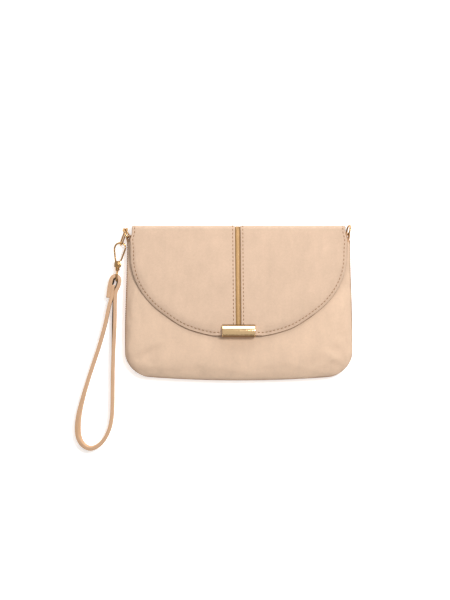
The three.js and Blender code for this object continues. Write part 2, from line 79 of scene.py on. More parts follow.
def add_area(name, location, target, size, power, size_y=None):
    data = bpy.data.lights.new(name, "AREA")
    data.energy = power
    data.size = size
    if size_y:
        data.shape = "RECTANGLE"
        data.size_y = size_y
    light = bpy.data.objects.new(name, data)
    light.location = location
    light.rotation_euler = (Vector(target) - Vector(location)).to_track_quat("-Z", "Y").to_euler()
    scene.collection.objects.link(light)


def add_stage():
    world = bpy.data.worlds.new("studio")
    world.use_nodes = True
    nodes, links = world.node_tree.nodes, world.node_tree.links
    coordinate = nodes.new("ShaderNodeTexCoord")
    split = nodes.new("ShaderNodeSeparateXYZ")
    ramp = nodes.new("ShaderNodeValToRGB")
    stops = ramp.color_ramp.elements
    stops[0].position, stops[1].position = 0.12, 1.0
    for stop, grey in zip((stops[0], stops.new(0.42), stops.new(0.7), stops[-1]), (0.13, 0.24, 0.53, 0.6)):
        stop.color = (grey, grey * 0.99, grey * 0.98, 1)
    links.new(coordinate.outputs["Generated"], split.inputs[0])
    links.new(split.outputs["Z"], ramp.inputs[0])
    links.new(ramp.outputs[0], nodes["Background"].inputs[0])
    scene.world = world
    scene.view_settings.view_transform = "Standard"

    add_area("key", (0.52, 0.47, 1.5), (0, 0, 0), 0.42, 19.6)
    add_area("back_strip", (0, 1.3, 0.55), (0, 0, 0.02), 1.6, 12, size_y=0.8)
    add_area("front_strip", (0, -1.35, 0.6), (0, 0, 0.02), 1.5, 1.8, size_y=0.4)

    reach, low = 6.0, -0.0002
    corners = [(-reach, -reach, low), (reach, -reach, low), (reach, reach, low), (-reach, reach, low)]
    mesh = bpy.data.meshes.new("floor")
    mesh.from_pydata(corners, [], [(0, 1, 2, 3)])
    floor = bpy.data.objects.new("floor", mesh)
    scene.collection.objects.link(floor)
    white = plain_material("floor_white", (0.95, 0.95, 0.95), 0.9)
    glow = white.node_tree.nodes["Principled BSDF"].inputs
    glow["Emission Color"].default_value = (1, 1, 1, 1)
    glow["Emission Strength"].default_value = 0.4
    mesh.materials.append(white)


# ---------------------------------------------------------------- materials

class Shader:
    """A principled material with helpers for the nodes that drive it."""

    def __init__(self, name, color, roughness, metallic=0.0):
        self.material = bpy.data.materials.new(name)
        self.material.use_nodes = True
        self.nodes = self.material.node_tree.nodes
        self.links = self.material.node_tree.links
        self.shader = self.nodes["Principled BSDF"]
        self.set("Base Color", (*color, 1))
        self.set("Roughness", roughness)
        self.set("Metallic", metallic)
        self.color = color
        self.place = None

    def set(self, socket, value):
        self.shader.inputs[socket].default_value = value

    def node(self, kind, **inputs):
        node = self.nodes.new(kind)
        for key, value in inputs.items():
            node.inputs[key].default_value = value
        return node

    def position(self, stretch=(1, 1, 1)):
        """Object coordinates in millimetres, stretched."""
        if self.place is None:
            self.place = self.nodes.new("ShaderNodeTexCoord")
        mapping = self.nodes.new("ShaderNodeMapping")
        mapping.inputs["Scale"].default_value = [1000 * s for s in stretch]
        self.links.new(self.place.outputs["Object"], mapping.inputs["Vector"])
        return mapping.outputs[0]

    def noise(self, size, detail=2, stretch=(1, 1, 1)):
        """Noise whose features are about size millimetres across."""
        node = self.node("ShaderNodeTexNoise", Scale=1 / size, Detail=detail)
        self.links.new(self.position(stretch), node.inputs["Vector"])
        return node.outputs["Fac"]

    def spread(self, value, low, high, a, b):
        node = self.node("ShaderNodeMapRange")
        for key, v in zip(("From Min", "From Max", "To Min", "To Max"), (low, high, a, b)):
            node.inputs[key].default_value = v
        self.links.new(value, node.inputs["Value"])
        return node.outputs["Result"]

    def tone(self, factors):
        """The colour times each factor output in turn."""
        color = None
        for factor in factors:
            mix = self.nodes.new("ShaderNodeMix")
            mix.data_type = "RGBA"
            mix.blend_type = "MULTIPLY"
            mix.inputs["Factor"].default_value = 1
            mix.inputs["A"].default_value = (*self.color, 1)
            if color is not None:
                self.links.new(color, mix.inputs["A"])
            self.links.new(factor, mix.inputs["B"])
            color = mix.outputs["Result"]
        self.links.new(color, self.shader.inputs["Base Color"])

    def wave(self, direction, scale, distortion=0.0, detail=2.0):
        """Bands that follow each other along a direction."""
        node = self.node("ShaderNodeTexWave", Scale=scale, Distortion=distortion, Detail=detail)
        node.bands_direction = direction
        self.links.new(self.position(), node.inputs["Vector"])
        return node.outputs["Fac"]

    def add(self, a, b):
        node = self.nodes.new("ShaderNodeMath")
        self.links.new(a, node.inputs[0])
        self.links.new(b, node.inputs[1])
        return node.outputs[0]

    def bump(self, height, depth, strength):
        """depth is the height of the relief in millimetres."""
        node = self.node("ShaderNodeBump", Strength=strength, Distance=depth * MM)
        self.links.new(height, node.inputs["Height"])
        self.links.new(node.outputs[0], self.shader.inputs["Normal"])

    def rough(self, value):
        self.links.new(value, self.shader.inputs["Roughness"])


def plain_material(name, color, roughness):
    s = Shader(name, color, roughness)
    s.rough(s.spread(s.noise(40), 0.3, 0.7, roughness - 0.03, roughness + 0.03))
    return s.material


def suede(name, color):
    """Brushed cloth: cloudy patches where the nap lies differently, a fine fibre and no gloss."""
    s = Shader(name, color, 0.92)
    s.set("Specular IOR Level", 0.18)
    s.set("Sheen Weight", 0.12)
    s.set("Sheen Roughness", 0.45)
    s.set("Sheen Tint", (1, 0.93, 0.85, 1))
    patches = s.spread(s.noise(22, 3), 0.3, 0.7, 0.958, 1.028)
    streaks = s.spread(s.noise(7, 4, (1, 0.35, 1)), 0.3, 0.7, 0.968, 1.024)
    speckle = s.spread(s.noise(2.2, 2), 0.3, 0.7, 0.975, 1.022)
    fibre = s.noise(0.55, 3)
    s.tone([patches, streaks, speckle, s.spread(fibre, 0.3, 0.7, 0.95, 1.04)])
    s.rough(s.spread(s.noise(3), 0.3, 0.7, 0.86, 0.97))
    s.bump(s.add(fibre, s.noise(0.22, 2)), 0.09, 0.6)
    return s.material


def leather(name, color, roughness=0.5, metallic=0.0, fade=None):
    """Smooth tanned leather with a fine pebbled grain. It may get painted shade that darkens between two
    places along y.
    """
    s = Shader(name, color, roughness, metallic)
    cells = s.nodes.new("ShaderNodeTexVoronoi")
    cells.feature = "DISTANCE_TO_EDGE"
    cells.inputs["Scale"].default_value = 1 / 0.6
    s.set("Specular IOR Level", 0.35)
    s.links.new(s.position(), cells.inputs["Vector"])
    grain = s.spread(cells.outputs["Distance"], 0.0, 0.35, 0.0, 1.0)
    tones = [s.spread(s.noise(9, 3), 0.3, 0.7, 0.95, 1.03), s.spread(grain, 0, 0.5, 0.93, 1.0)]
    if fade:
        split = s.nodes.new("ShaderNodeSeparateXYZ")
        s.links.new(s.position(), split.inputs[0])
        tones.append(s.spread(split.outputs["Y"], *fade, 1.0, 0.13))
    s.tone(tones)
    s.rough(s.spread(s.noise(2), 0.3, 0.7, roughness - 0.07, roughness + 0.08))
    s.bump(s.add(grain, s.noise(0.3)), 0.05, 0.5)
    return s.material


def woven(name, color, pitch):
    """Plain weave of two crossing sets of threads."""
    s = Shader(name, color, 0.8)
    s.set("Sheen Weight", 0.15)
    cloth = s.add(s.wave("X", 0.314 / pitch, 0.6, 1), s.wave("Y", 0.314 / pitch, 0.6, 1))
    s.tone([s.spread(cloth, 0, 2, 0.88, 1.04), s.spread(s.noise(15), 0.3, 0.7, 0.96, 1.03)])
    s.rough(s.spread(s.noise(4), 0.3, 0.7, 0.72, 0.86))
    s.bump(cloth, 0.12, 0.7)
    return s.material


def thread(name, color):
    s = Shader(name, color, 0.7)
    twist = s.wave("DIAGONAL", 0.9)
    s.tone([s.spread(twist, 0, 1, 0.8, 1.05)])
    s.bump(twist, 0.08, 0.8)
    return s.material


def gold(name, color, roughness):
    """Plated metal, polished, with faint scuffs."""
    s = Shader(name, color, roughness, 1.0)
    scuffs = s.noise(0.8, 5, (1, 0.12, 1))
    s.tone([s.spread(s.noise(6, 3), 0.3, 0.7, 0.95, 1.02)])
    s.rough(s.spread(scuffs, 0.35, 0.7, roughness - 0.03, roughness + 0.09))
    s.bump(scuffs, 0.006, 0.4)
    return s.material


def fibre_board(name, color):
    s = Shader(name, color, 0.9)
    fibre = s.noise(1.2, 5, (1, 0.4, 1))
    s.tone([s.spread(fibre, 0.3, 0.7, 0.85, 1.08)])
    s.rough(s.spread(fibre, 0.3, 0.7, 0.85, 0.95))
    s.bump(fibre, 0.1, 0.6)
    return s.material


POUCH = suede("pouch_suede", (0.66, 0.475, 0.343))
FLAP = suede("flap_suede", (0.595, 0.427, 0.311))
# Painted shade: a dark brown under the flap's rim and round the outer side of its roll, where its shadow
# falls on the pouch.
FLAP_RIM_SHADE = leather("flap_rim_painted_shade", (0.2, 0.082, 0.028), 0.75)
INLAY = leather("inlay_leather", (0.415, 0.242, 0.097), 0.42, 0.3)
# Painted shade along the inlay's edges, wider on its right side.
INLAY_EDGE_SHADE = leather("inlay_edge_painted_shade", (0.27, 0.145, 0.05), 0.6)
LEATHER = leather("strap_leather", (0.61, 0.378, 0.212), 0.55)
EDGE = leather("edge_paint", (0.55, 0.34, 0.205), 0.45)
# The strap's inner side: rougher, with painted shade darkening towards the fold at its top.
STRAP_INNER_SHADE = leather("strap_inner_side_painted_shade", (0.61, 0.378, 0.212), 0.7, fade=(-85, 2))
LINING = woven("lining_cloth", (0.55, 0.44, 0.33), 0.55)
TAPE = woven("zip_tape", (0.53, 0.41, 0.28), 0.4)
BOARD = fibre_board("stiff_board", (0.45, 0.37, 0.29))
THREAD = thread("thread", (0.27, 0.125, 0.05))
SEAM = leather("turned_seam", (0.47, 0.30, 0.195), 0.8)
GOLD = gold("gold", (1.0, 0.69, 0.37), 0.12)
BRASS = gold("hook_gold", (0.56, 0.34, 0.15), 0.16)
# Painted shade and painted dark reflection for the steep sides of the clasp bar.
GOLD_SHADED_SIDES = gold("gold_sides_painted_shade", (0.24, 0.145, 0.07), 0.3)
GOLD_FINE = gold("gold_small_parts", (0.80, 0.53, 0.26), 0.2)

add_camera()
add_stage()


# ---------------------------------------------------------------- mesh helpers

def make(name, points, faces, *materials, slots=None, smooth=True):
    mesh = bpy.data.meshes.new(name)
    mesh.from_pydata([Vector(p) * MM for p in points], [], faces)
    for material in materials:
        mesh.materials.append(material)
    if slots is not None:
        mesh.polygons.foreach_set("material_index", slots)
    mesh.polygons.foreach_set("use_smooth", [smooth] * len(mesh.polygons))
    mesh.update()
    obj = bpy.data.objects.new(name, mesh)
    scene.collection.objects.link(obj)
    return obj


def ring_faces(rings, sides, base=0, closed=False):
    """Faces between rings of points, with a cap at each end unless the last ring meets the first."""
    faces = []
    for r in range(rings if closed else rings - 1):
        step = ((r + 1) % rings - r) * sides
        for j in range(sides):
            a, b = r * sides + j, r * sides + (j + 1) % sides
            faces.append((a, b, b + step, a + step))
    if not closed:
        faces.append(tuple(range(sides))[::-1])
        faces.append(tuple((rings - 1) * sides + j for j in range(sides)))
    return [tuple(base + v for v in face) for face in faces]


def grid_faces(columns, rows, base=0):
    w = columns + 1
    corners = [base + j * w + i for j in range(rows) for i in range(columns)]
    return [(a, a + 1, a + w + 1, a + w) for a in corners]


def edit(obj, change):
    """Lets change work on the object's mesh as a bmesh."""
    bm = bmesh.new()
    bm.from_mesh(obj.data)
    change(bm)
    bm.to_mesh(obj.data)
    bm.free()


def apply(obj):
    """Puts the result of the modifiers into the mesh."""
    bpy.context.view_layer.update()
    graph = bpy.context.evaluated_depsgraph_get()
    mesh = bpy.data.meshes.new_from_object(obj.evaluated_get(graph))
    obj.modifiers.clear()
    old = obj.data
    obj.data = mesh
    mesh.name = old.name + "_made"
    return obj


def thicken(obj, thickness):
    mod = obj.modifiers.new("thickness", "SOLIDIFY")
    mod.thickness = thickness * MM
    mod.offset = -1.0
    mod.use_even_offset = False
    mod.use_quality_normals = True
    return apply(obj)


def rounded(obj, width):
    mod = obj.modifiers.new("edges", "BEVEL")
    mod.width = width * MM
    mod.segments = 2
    mod.limit_method = "ANGLE"
    mod.angle_limit = math.radians(35)
    mod.harden_normals = False
    return apply(obj)


def outward(obj):
    edit(obj, lambda bm: bmesh.ops.recalc_face_normals(bm, faces=bm.faces))
    return obj


def sharpen(obj, angle=38):
    """Keeps faces smooth where they are nearly level with each other, and edges crisp elsewhere."""
    limit = math.radians(angle)

    def mark(bm):
        for edge in bm.edges:
            edge.smooth = len(edge.link_faces) == 2 and edge.calc_face_angle(0) < limit
        for face in bm.faces:
            face.smooth = True

    edit(obj, mark)
    return obj


def placed(obj, matrix):
    """Moves the mesh itself, so that its object stays at the origin."""
    obj.data.transform(matrix)
    obj.data.update()
    return obj


def joined(name, pieces):
    """One object from several that are of one material."""
    bm = bmesh.new()
    for piece in pieces:
        bm.from_mesh(piece.data)
    obj = make(name, [], [], pieces[0].data.materials[0])
    bm.to_mesh(obj.data)
    bm.free()
    for piece in pieces:
        bpy.data.objects.remove(piece)
    return obj


def frames_along(points, closed, up=None):
    """A tangent, a side and a top direction at each point, that turn as little as possible."""
    n = len(points)
    tangents = []
    for i in range(n):
        a = points[(i - 1) % n] if closed else points[max(0, i - 1)]
        b = points[(i + 1) % n] if closed else points[min(n - 1, i + 1)]
        tangents.append((b - a).normalized())
    if up is not None:
        sides = [Vector(up).cross(t).normalized() for t in tangents]
        return [(t, s, t.cross(s)) for t, s in zip(tangents, sides)]
    side = tangents[0].orthogonal().normalized()
    sides = [side]
    for a, b in zip(tangents, tangents[1:]):
        side = a.rotation_difference(b) @ side
        sides.append(side.normalized())
    if closed:
        end = tangents[-1].rotation_difference(tangents[0]) @ sides[-1]
        twist = end.angle(sides[0])
        if tangents[0].dot(end.cross(sides[0])) < 0:
            twist = -twist
        sides = [Matrix.Rotation(twist * i / n, 3, t) @ s for i, (s, t) in enumerate(zip(sides, tangents))]
    return [(t, s, t.cross(s)) for t, s in zip(tangents, sides)]


def sweep(name, points, section, material, closed=False, up=None, scale=None, roll=None):
    """A section, a list of (side, top) offsets, carried along points. Ends are closed by a cap."""
    points = [Vector(p) for p in points]
    last = len(points) - 1
    verts = []
    for i, (point, (t, s, u)) in enumerate(zip(points, frames_along(points, closed, up))):
        k = scale(i / last) if scale else 1.0
        turn = Matrix.Rotation(roll(i / last), 3, t) if roll else None
        for a, b in section:
            offset = s * (a * k) + u * (b * k)
            verts.append(point + (turn @ offset if turn else offset))
    return outward(make(name, verts, ring_faces(len(points), len(section), closed=closed), material))


def circle(radius, sides):
    angles = [2 * math.pi * i / sides for i in range(sides)]
    return [(radius * math.cos(a), radius * math.sin(a)) for a in angles]


def wire(name, points, radius, material, closed=False, sides=14):
    """Round wire. Free ends are rounded off."""
    ends = None
    if not closed:
        points = [Vector(p) for p in points]
        first, last = (points[0] - points[1]).normalized(), (points[-1] - points[-2]).normalized()
        steps, shares = [0.97, 0.8, 0.45], [0.25, 0.6, 0.89]
        sizes = shares + [1.0] * len(points) + shares[::-1]
        head = [points[0] + first * radius * s for s in steps]
        tail = [points[-1] + last * radius * s for s in reversed(steps)]
        points = head + points + tail
        ends = lambda t: sizes[round(t * (len(sizes) - 1))]
    return sweep(name, points, circle(radius, sides), material, closed, scale=ends)


def lathe(name, profile, material, segments=32, axis="Z"):
    """A profile of (radius, height) pairs turned round an axis. A radius of zero closes that end."""
    verts, faces, rings = [], [], []
    for r, h in profile:
        around = circle(r, segments) if r else [(0, 0)]
        rings.append(range(len(verts), len(verts) + len(around)))
        verts += [(x, y, h) for x, y in around]
    pairs = list(zip(rings, rings[1:]))
    if len(rings[0]) > 1:
        pairs.append((rings[-1], rings[0]))
    for a, b in pairs:
        for i in range(segments):
            j = (i + 1) % segments
            if len(a) == 1:
                faces.append((a[0], b[i], b[j]))
            elif len(b) == 1:
                faces.append((a[i], a[j], b[0]))
            else:
                faces.append((a[i], a[j], b[j], b[i]))
    obj = outward(make(name, verts, faces, material))
    if axis == "Y":
        placed(obj, Matrix.Rotation(-math.pi / 2, 4, "X"))
    return obj


def slab(name, outline, low, high, material, bevel):
    """A flat outline given thickness, with rounded edges."""
    verts = [(x, y, z) for z in (low, high) for x, y in outline]
    return rounded(outward(make(name, verts, ring_faces(2, len(outline)), material)), bevel)


def catmull(points, count):
    """count + 1 points evenly spread along a smooth curve through points."""
    pts = [Vector(p) for p in points]
    ext = [2 * pts[0] - pts[1]] + pts + [2 * pts[-1] - pts[-2]]
    fine = []
    for i in range(1, len(ext) - 2):
        p0, p1, p2, p3 = ext[i - 1:i + 3]
        for k in range(12):
            t = k / 12
            fine.append(0.5 * (2 * p1 + (p2 - p0) * t + (2 * p0 - 5 * p1 + 4 * p2 - p3) * t ** 2
                               + (3 * p1 - p0 - 3 * p2 + p3) * t ** 3))
    fine.append(pts[-1])
    lengths = [0.0]
    for a, b in zip(fine, fine[1:]):
        lengths.append(lengths[-1] + (b - a).length)
    out, j = [], 0
    for i in range(count + 1):
        want = lengths[-1] * i / count
        while j < len(lengths) - 2 and lengths[j + 1] < want:
            j += 1
        t = (want - lengths[j]) / (lengths[j + 1] - lengths[j])
        out.append(fine[j].lerp(fine[j + 1], min(1, max(0, t))))
    return out


def dress(obj, body=None, replaced=()):
    if body:
        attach(obj, body)
    if replaced:
        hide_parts(*replaced)
    return obj


def smooth_step(t):
    k = min(1.0, max(0.0, t))
    return k * k * (3 - 2 * k)


def lerp(a, b, t):
    return a + (b - a) * t


def bunched(u):
    """Spreads shares from -1 to 1 so that they lie denser towards both ends."""
    return math.sin(u * math.pi * 0.48) / math.sin(math.pi * 0.48)


def arc_points(cx, cy, radius, start, stop, steps):
    angles = [math.radians(lerp(start, stop, k / steps)) for k in range(steps + 1)]
    return [(cx + radius * math.cos(a), cy + radius * math.sin(a)) for a in angles]


# ---------------------------------------------------------------- the wrist strap

# The middle line of the strap: from its outer end, over the bar of the eye, down the right side, round the
# bottom and up the left side to the end that is sewn in between.
STRAP_ROUTE = [
    (-126.8, 4.4), (-126.2, 11), (-125.8, 15.9), (-124.8, 20.7), (-123, 24.4), (-119.6, 26),
    (-116.6, 24.4), (-115.8, 20.9), (-117.2, 15.9), (-119.4, 11), (-120.1, 5.2), (-120.5, -2),
    (-120.7, -12), (-121.2, -30), (-121.8, -48), (-122.3, -66), (-122.5, -84), (-122.7, -100),
    (-123.4, -112), (-125.6, -122.5), (-129.6, -131.4), (-135.4, -138.3), (-143.4, -141.9),
    (-150.8, -138.9), (-155.3, -131.6), (-156.4, -122), (-155.2, -109), (-151.2, -92), (-145.9, -74),
    (-140.5, -57.5), (-134.8, -40), (-129.6, -21), (-126.2, -5), (-123.6, 4.4), (-122.8, 11), (-121.7, 17),
]
STRAP_WIDTH = 9.0
STRAP_THICKNESS = 3.6
STRAP_LIFT = 2.0


def strap_low(y):
    return STRAP_LIFT * smooth_step((y + 60) / 60)


def near(t, place, reach):
    return math.exp(-((t - place) / reach) ** 2)


def add_strap():
    steps = 260
    points = []
    for i, p in enumerate(catmull([(x, y, 0) for x, y in STRAP_ROUTE], steps)):
        # The fold over the eye is pressed together a little.
        t = i / steps
        x = p.x + 1.3 * near(t, 0.042, 0.018) - 0.5 * near(t, 0.082, 0.012)
        y = p.y - 0.8 * near(t, 0.0655, 0.015)
        points.append(Vector((x, y, strap_low(p.y) + STRAP_WIDTH / 2)))
    # The section: four rounded corners of five points each.
    a, b, r = STRAP_THICKNESS / 2, STRAP_WIDTH / 2, 0.55
    section = []
    for cx, cy, start in ((a - r, b - r, 0), (r - a, b - r, 90), (r - a, r - b, 180), (a - r, r - b, 270)):
        section += arc_points(cx, cy, r, start, start + 90, 4)

    def lean(t):
        fold = math.exp(-((t - 0.07) / 0.045) ** 4)
        return math.radians(-15 * near(t, 0.61, 0.07) - 10 * max(near(t, 0.19, 0.07), fold))

    swell = lambda t: 1 + 0.1 * near(t, 0.04, 0.025)
    strap = sweep("wrist_strap_leather", points, section, LEATHER, up=(0, 0, 1), roll=lean, scale=swell)
    strap.data.materials.append(EDGE)
    strap.data.materials.append(STRAP_INNER_SHADE)
    # Both cut edges are painted. The side that faces into the loop, and the two ends, show the flesh side,
    # with painted shade that grows darker towards the top, where the strap folds over the eye.
    inner_side = 9
    slot_of_side = {inner_side: 2, **dict.fromkeys((3, 4, 5, 13, 14, 15), 1)}
    for face in strap.data.polygons:
        side = face.index % len(section) if len(face.vertices) == 4 else inner_side
        face.material_index = slot_of_side.get(side, 0)
    for v in strap.data.vertices:
        v.co.z = max(v.co.z, 0)
    dress(strap, "strap", ["wrist_strap"])


add_strap()


# ---------------------------------------------------------------- the pouch

TOP_HALF_WIDTH, SHOULDER_HALF_WIDTH, HALF_WIDTH = 102.4, 108.2, 110.2
SHOULDER_Y, WIDEST_Y, BOTTOM_Y, CORNER_RADIUS, BOTTOM_BOW = 52.5, -30, -75.6, 24, 5.2
MOUTH_Y, BACK_TOP_Y, SEAM_Z = 66, 71.5, 9.15
FRONT_RISE, MOUTH_RISE, FULLEST_Y = 8.85, 0.48, -20
CLOTH_THICKNESS = 1.3
# Creases of the front: height, start x, start y, direction in degrees, length and width.
CREASES = [
    (-1.2, 103, -69.5, 148, 20, 2.4), (0.9, 101, -62, 150, 24, 4.2), (-0.55, -103, -60, 30, 32, 4.2),
    (0.35, -98, -52, 34, 30, 4.5), (-0.3, 100, 20, 262, 60, 4), (-0.3, -100, 22, 278, 60, 4),
]
STITCH_SIDES = 6


def half_width_at(y, inset=0.0):
    if y > WIDEST_Y:
        side = lerp(HALF_WIDTH, SHOULDER_HALF_WIDTH, smooth_step((y - WIDEST_Y) / (SHOULDER_Y - WIDEST_Y)))
    else:
        side = HALF_WIDTH
    side -= (SHOULDER_HALF_WIDTH - TOP_HALF_WIDTH) * smooth_step((y - 60) / 4)
    radius = CORNER_RADIUS - inset
    into = max(0.0, radius - (y - BOTTOM_Y - inset))
    return side - inset - radius + math.sqrt(max(0.0, radius ** 2 - into ** 2))


def bowed(x, y):
    """The bottom edge is higher towards the sides than in the middle."""
    return y + BOTTOM_BOW * (x / HALF_WIDTH) ** 2 * smooth_step((FULLEST_Y - y) / (FULLEST_Y - BOTTOM_Y))


def crown(y):
    if y > FULLEST_Y:
        return 1 - (1 - MOUTH_RISE) * ((y - FULLEST_Y) / (MOUTH_Y - FULLEST_Y)) ** 1.5
    return max(0.0, 1 - ((FULLEST_Y - y) / (FULLEST_Y - BOTTOM_Y)) ** 3.4) ** 0.45


def crease(x, y, x0, y0, angle, length, width):
    """Depth, from 0 to 1, of a fold that starts at a point and fades out along its direction."""
    a = math.radians(angle)
    along = (x - x0) * math.cos(a) + (y - y0) * math.sin(a)
    across = -(x - x0) * math.sin(a) + (y - y0) * math.cos(a)
    fade = math.exp(-((along - length / 2) / (length / 2)) ** 2 * 1.6)
    return fade * math.exp(-(across / width) ** 2)


def front_z(x, y):
    across = min(1.0, abs(x) / max(1e-6, half_width_at(y)))
    rise = FRONT_RISE * crown(y) * math.sqrt(max(0.0, 1 - across ** 6))
    soft = min(1.0, rise / 6)
    wave = 0.35 * noise.noise(Vector((x / 38, y / 24, 0.3)))
    wave += 0.14 * noise.noise(Vector((x / 13, y / 11, 2.7)))
    folds = sum(depth * crease(x, y, *fold) for depth, *fold in CREASES)
    near_mouth = smooth_step((58 - y) / 30)
    # The cloth fills out under the flap, except round the snap.
    fill = 1.7 * smooth_step((40 - y) / 45) * smooth_step((math.hypot(x, y + 8) - 10) / 12)
    return SEAM_Z + 0.1 + rise + soft * near_mouth * (wave + folds + fill)


def back_z(x, y):
    across = abs(x) / max(1e-6, half_width_at(y))
    side = max(0.0, (across - 0.86) / 0.14) ** 2
    foot = min(1.0, max(0.0, (BOTTOM_Y + 16 - y) / 16)) ** 2
    return (SEAM_Z - 0.1) * (1 - (1 - side) * (1 - foot))


def panel_grid(y1, height, columns, rows):
    """Points and faces of a panel over the pouch's outline, denser at its sides and bottom, and its rim."""
    points = []
    for j in range(rows + 1):
        v = j / rows
        y = lerp(BOTTOM_Y, y1, 0.6 * v ** 1.9 + 0.4 * v)
        half = half_width_at(y)
        for i in range(columns + 1):
            x = half * math.sin((i / columns - 0.5) * math.pi * 0.97) / math.sin(0.485 * math.pi)
            points.append((x, bowed(x, y), height(x, y)))
    w = columns + 1
    rim = [k for k in range(len(points)) if k < w or k >= rows * w or k % w in (0, columns)]
    return points, grid_faces(columns, rows), rim


def settle(obj, rim, pressure, cap, looseness):
    """Lets a panel settle as cloth held at its rim, with light pressure behind it, and keeps the result."""
    group = obj.vertex_groups.new(name="rim")
    group.add(rim, 1.0, "REPLACE")
    mod = obj.modifiers.new("cloth", "CLOTH")
    cloth = mod.settings
    cloth.quality = 6
    cloth.mass = 0.2
    cloth.tension_stiffness = cloth.compression_stiffness = 12
    cloth.shear_stiffness = 6
    cloth.bending_stiffness = 0.3
    cloth.air_damping = 2
    cloth.vertex_group_mass = "rim"
    cloth.use_pressure = True
    cloth.uniform_pressure_force = pressure
    cloth.shrink_min = -looseness
    cloth.effector_weights.gravity = 0
    frames = 20
    mod.point_cache.frame_start, mod.point_cache.frame_end = 1, frames
    for f in range(1, frames + 1):
        scene.frame_set(f)
    graph = bpy.context.evaluated_depsgraph_get()
    made = obj.evaluated_get(graph).to_mesh()
    moved = [v.co.copy() for v in made.vertices]
    obj.modifiers.remove(mod)
    obj.vertex_groups.clear()
    scene.frame_set(1)
    for v, co in zip(obj.data.vertices, moved):
        d = co - v.co
        limit = cap(v.co / MM) * MM
        if d.length > limit:
            d = d * (limit / d.length)
        v.co += d
    obj.data.update()


def stitch_line(name, path, pitch, length, radius):
    """Separate stitches along a path of (point, normal), each a short thread that dives in at its ends."""
    lengths = [0.0]
    for (p, _), (q, _) in zip(path, path[1:]):
        lengths.append(lengths[-1] + (q - p).length)

    def at(s):
        k = int(np.searchsorted(lengths, s, side="right")) - 1
        k = min(max(k, 0), len(path) - 2)
        t = (s - lengths[k]) / max(1e-9, lengths[k + 1] - lengths[k])
        return path[k][0].lerp(path[k + 1][0], t), path[k][1].lerp(path[k + 1][1], t).normalized()

    verts, faces = [], []
    dips = (-0.95, -0.25, 0.15, 0.25, 0.15, -0.25, -0.95)
    widths = (0.55, 0.95, 1.0, 1.0, 1.0, 0.95, 0.55)
    for n in range(int((lengths[-1] - length) / pitch) + 1):
        faces += ring_faces(len(dips), STITCH_SIDES, base=len(verts))
        for k, (dip, width) in enumerate(zip(dips, widths)):
            s = n * pitch + 0.4 + length * k / (len(dips) - 1)
            p, up = at(s)
            q, _ = at(s + 0.05)
            along = (q - p).normalized()
            side = up.cross(along).normalized()
            centre = p + up * (dip * radius)
            verts += [centre + side * a + up * b for a, b in circle(radius * width, STITCH_SIDES)]
    return outward(make(name, verts, faces, THREAD))


def seam_outline(inset):
    """The pouch's outline from the top left, down, along the bottom and up to the top right."""
    cx, cy = HALF_WIDTH - CORNER_RADIUS, BOTTOM_Y + CORNER_RADIUS
    right = []
    for k in range(61):
        y = lerp(64.5, cy, k / 60)
        right.append((half_width_at(y) - inset, y))
    right += arc_points(cx, cy, CORNER_RADIUS - inset, 0, -90, 18)[1:]
    bottom = [(lerp(-cx, cx, k / 60), BOTTOM_Y + inset) for k in range(1, 60)]
    outline = [(-x, y) for x, y in right] + bottom + right[::-1]
    return [(x, bowed(x, y)) for x, y in outline]


def add_pouch():
    points, faces, rim = panel_grid(MOUTH_Y, front_z, 72, 50)
    front = make("front_panel_suede", points, faces, POUCH)
    settle(front, rim, pressure=1.2, cap=lambda p: 0.55 * smooth_step((50 - p.y) / 30), looseness=0.005)
    thicken(front, CLOTH_THICKNESS)
    dress(front, "pouch", ["front_panel"])

    points, faces, _ = panel_grid(70.7, lambda x, y: max(0.0, back_z(x, y)), 72, 44)
    back = make("back_panel_suede", points, [f[::-1] for f in faces], POUCH)
    thicken(back, CLOTH_THICKNESS)
    dress(back, "pouch", ["back_panel"])

    # The seam where both panels are turned in, with the stitches that draw it together.
    outline = [Vector((x, y, SEAM_Z)) for x, y in seam_outline(0.75)]
    seam = wire("side_seam", outline, 0.8, SEAM, sides=10)
    dress(seam, "pouch")
    path = [(Vector((x, y, SEAM_Z + 0.7)), Vector((0, 0, 1))) for x, y in seam_outline(0.2)]
    ticks = stitch_line("side_seam_stitches", path, pitch=2.2, length=1.2, radius=0.48)
    dress(ticks, "pouch")


def refine(node, name, material, body, wobble=0.0, bevel=0.0):
    """A softer copy of a CAD node: rounded edges or a slight unevenness."""
    obj = make(name, [], [], material)
    bm = bmesh.new()
    bm.from_mesh(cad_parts[node].data)
    bmesh.ops.remove_doubles(bm, verts=bm.verts, dist=1e-6)
    bmesh.ops.dissolve_limit(bm, angle_limit=math.radians(0.5), verts=bm.verts, edges=bm.edges)
    bm.to_mesh(obj.data)
    bm.free()
    if bevel:
        rounded(obj, bevel)

    def loosen(bm):
        bmesh.ops.triangulate(bm, faces=bm.faces)
        long_edges = [e for e in bm.edges if e.calc_length() > 6 * MM]
        bmesh.ops.subdivide_edges(bm, edges=long_edges, cuts=1, use_grid_fill=False)
        bmesh.ops.triangulate(bm, faces=bm.faces)
        for v in bm.verts:
            p = v.co / MM
            v.co.z += wobble * MM * noise.noise(Vector((p.x / 14, p.y / 14, 1.5)))

    if wobble:
        edit(obj, loosen)
    for polygon in obj.data.polygons:
        polygon.use_smooth = False
    dress(obj, body, [node])


# ---------------------------------------------------------------- the flap and the fold

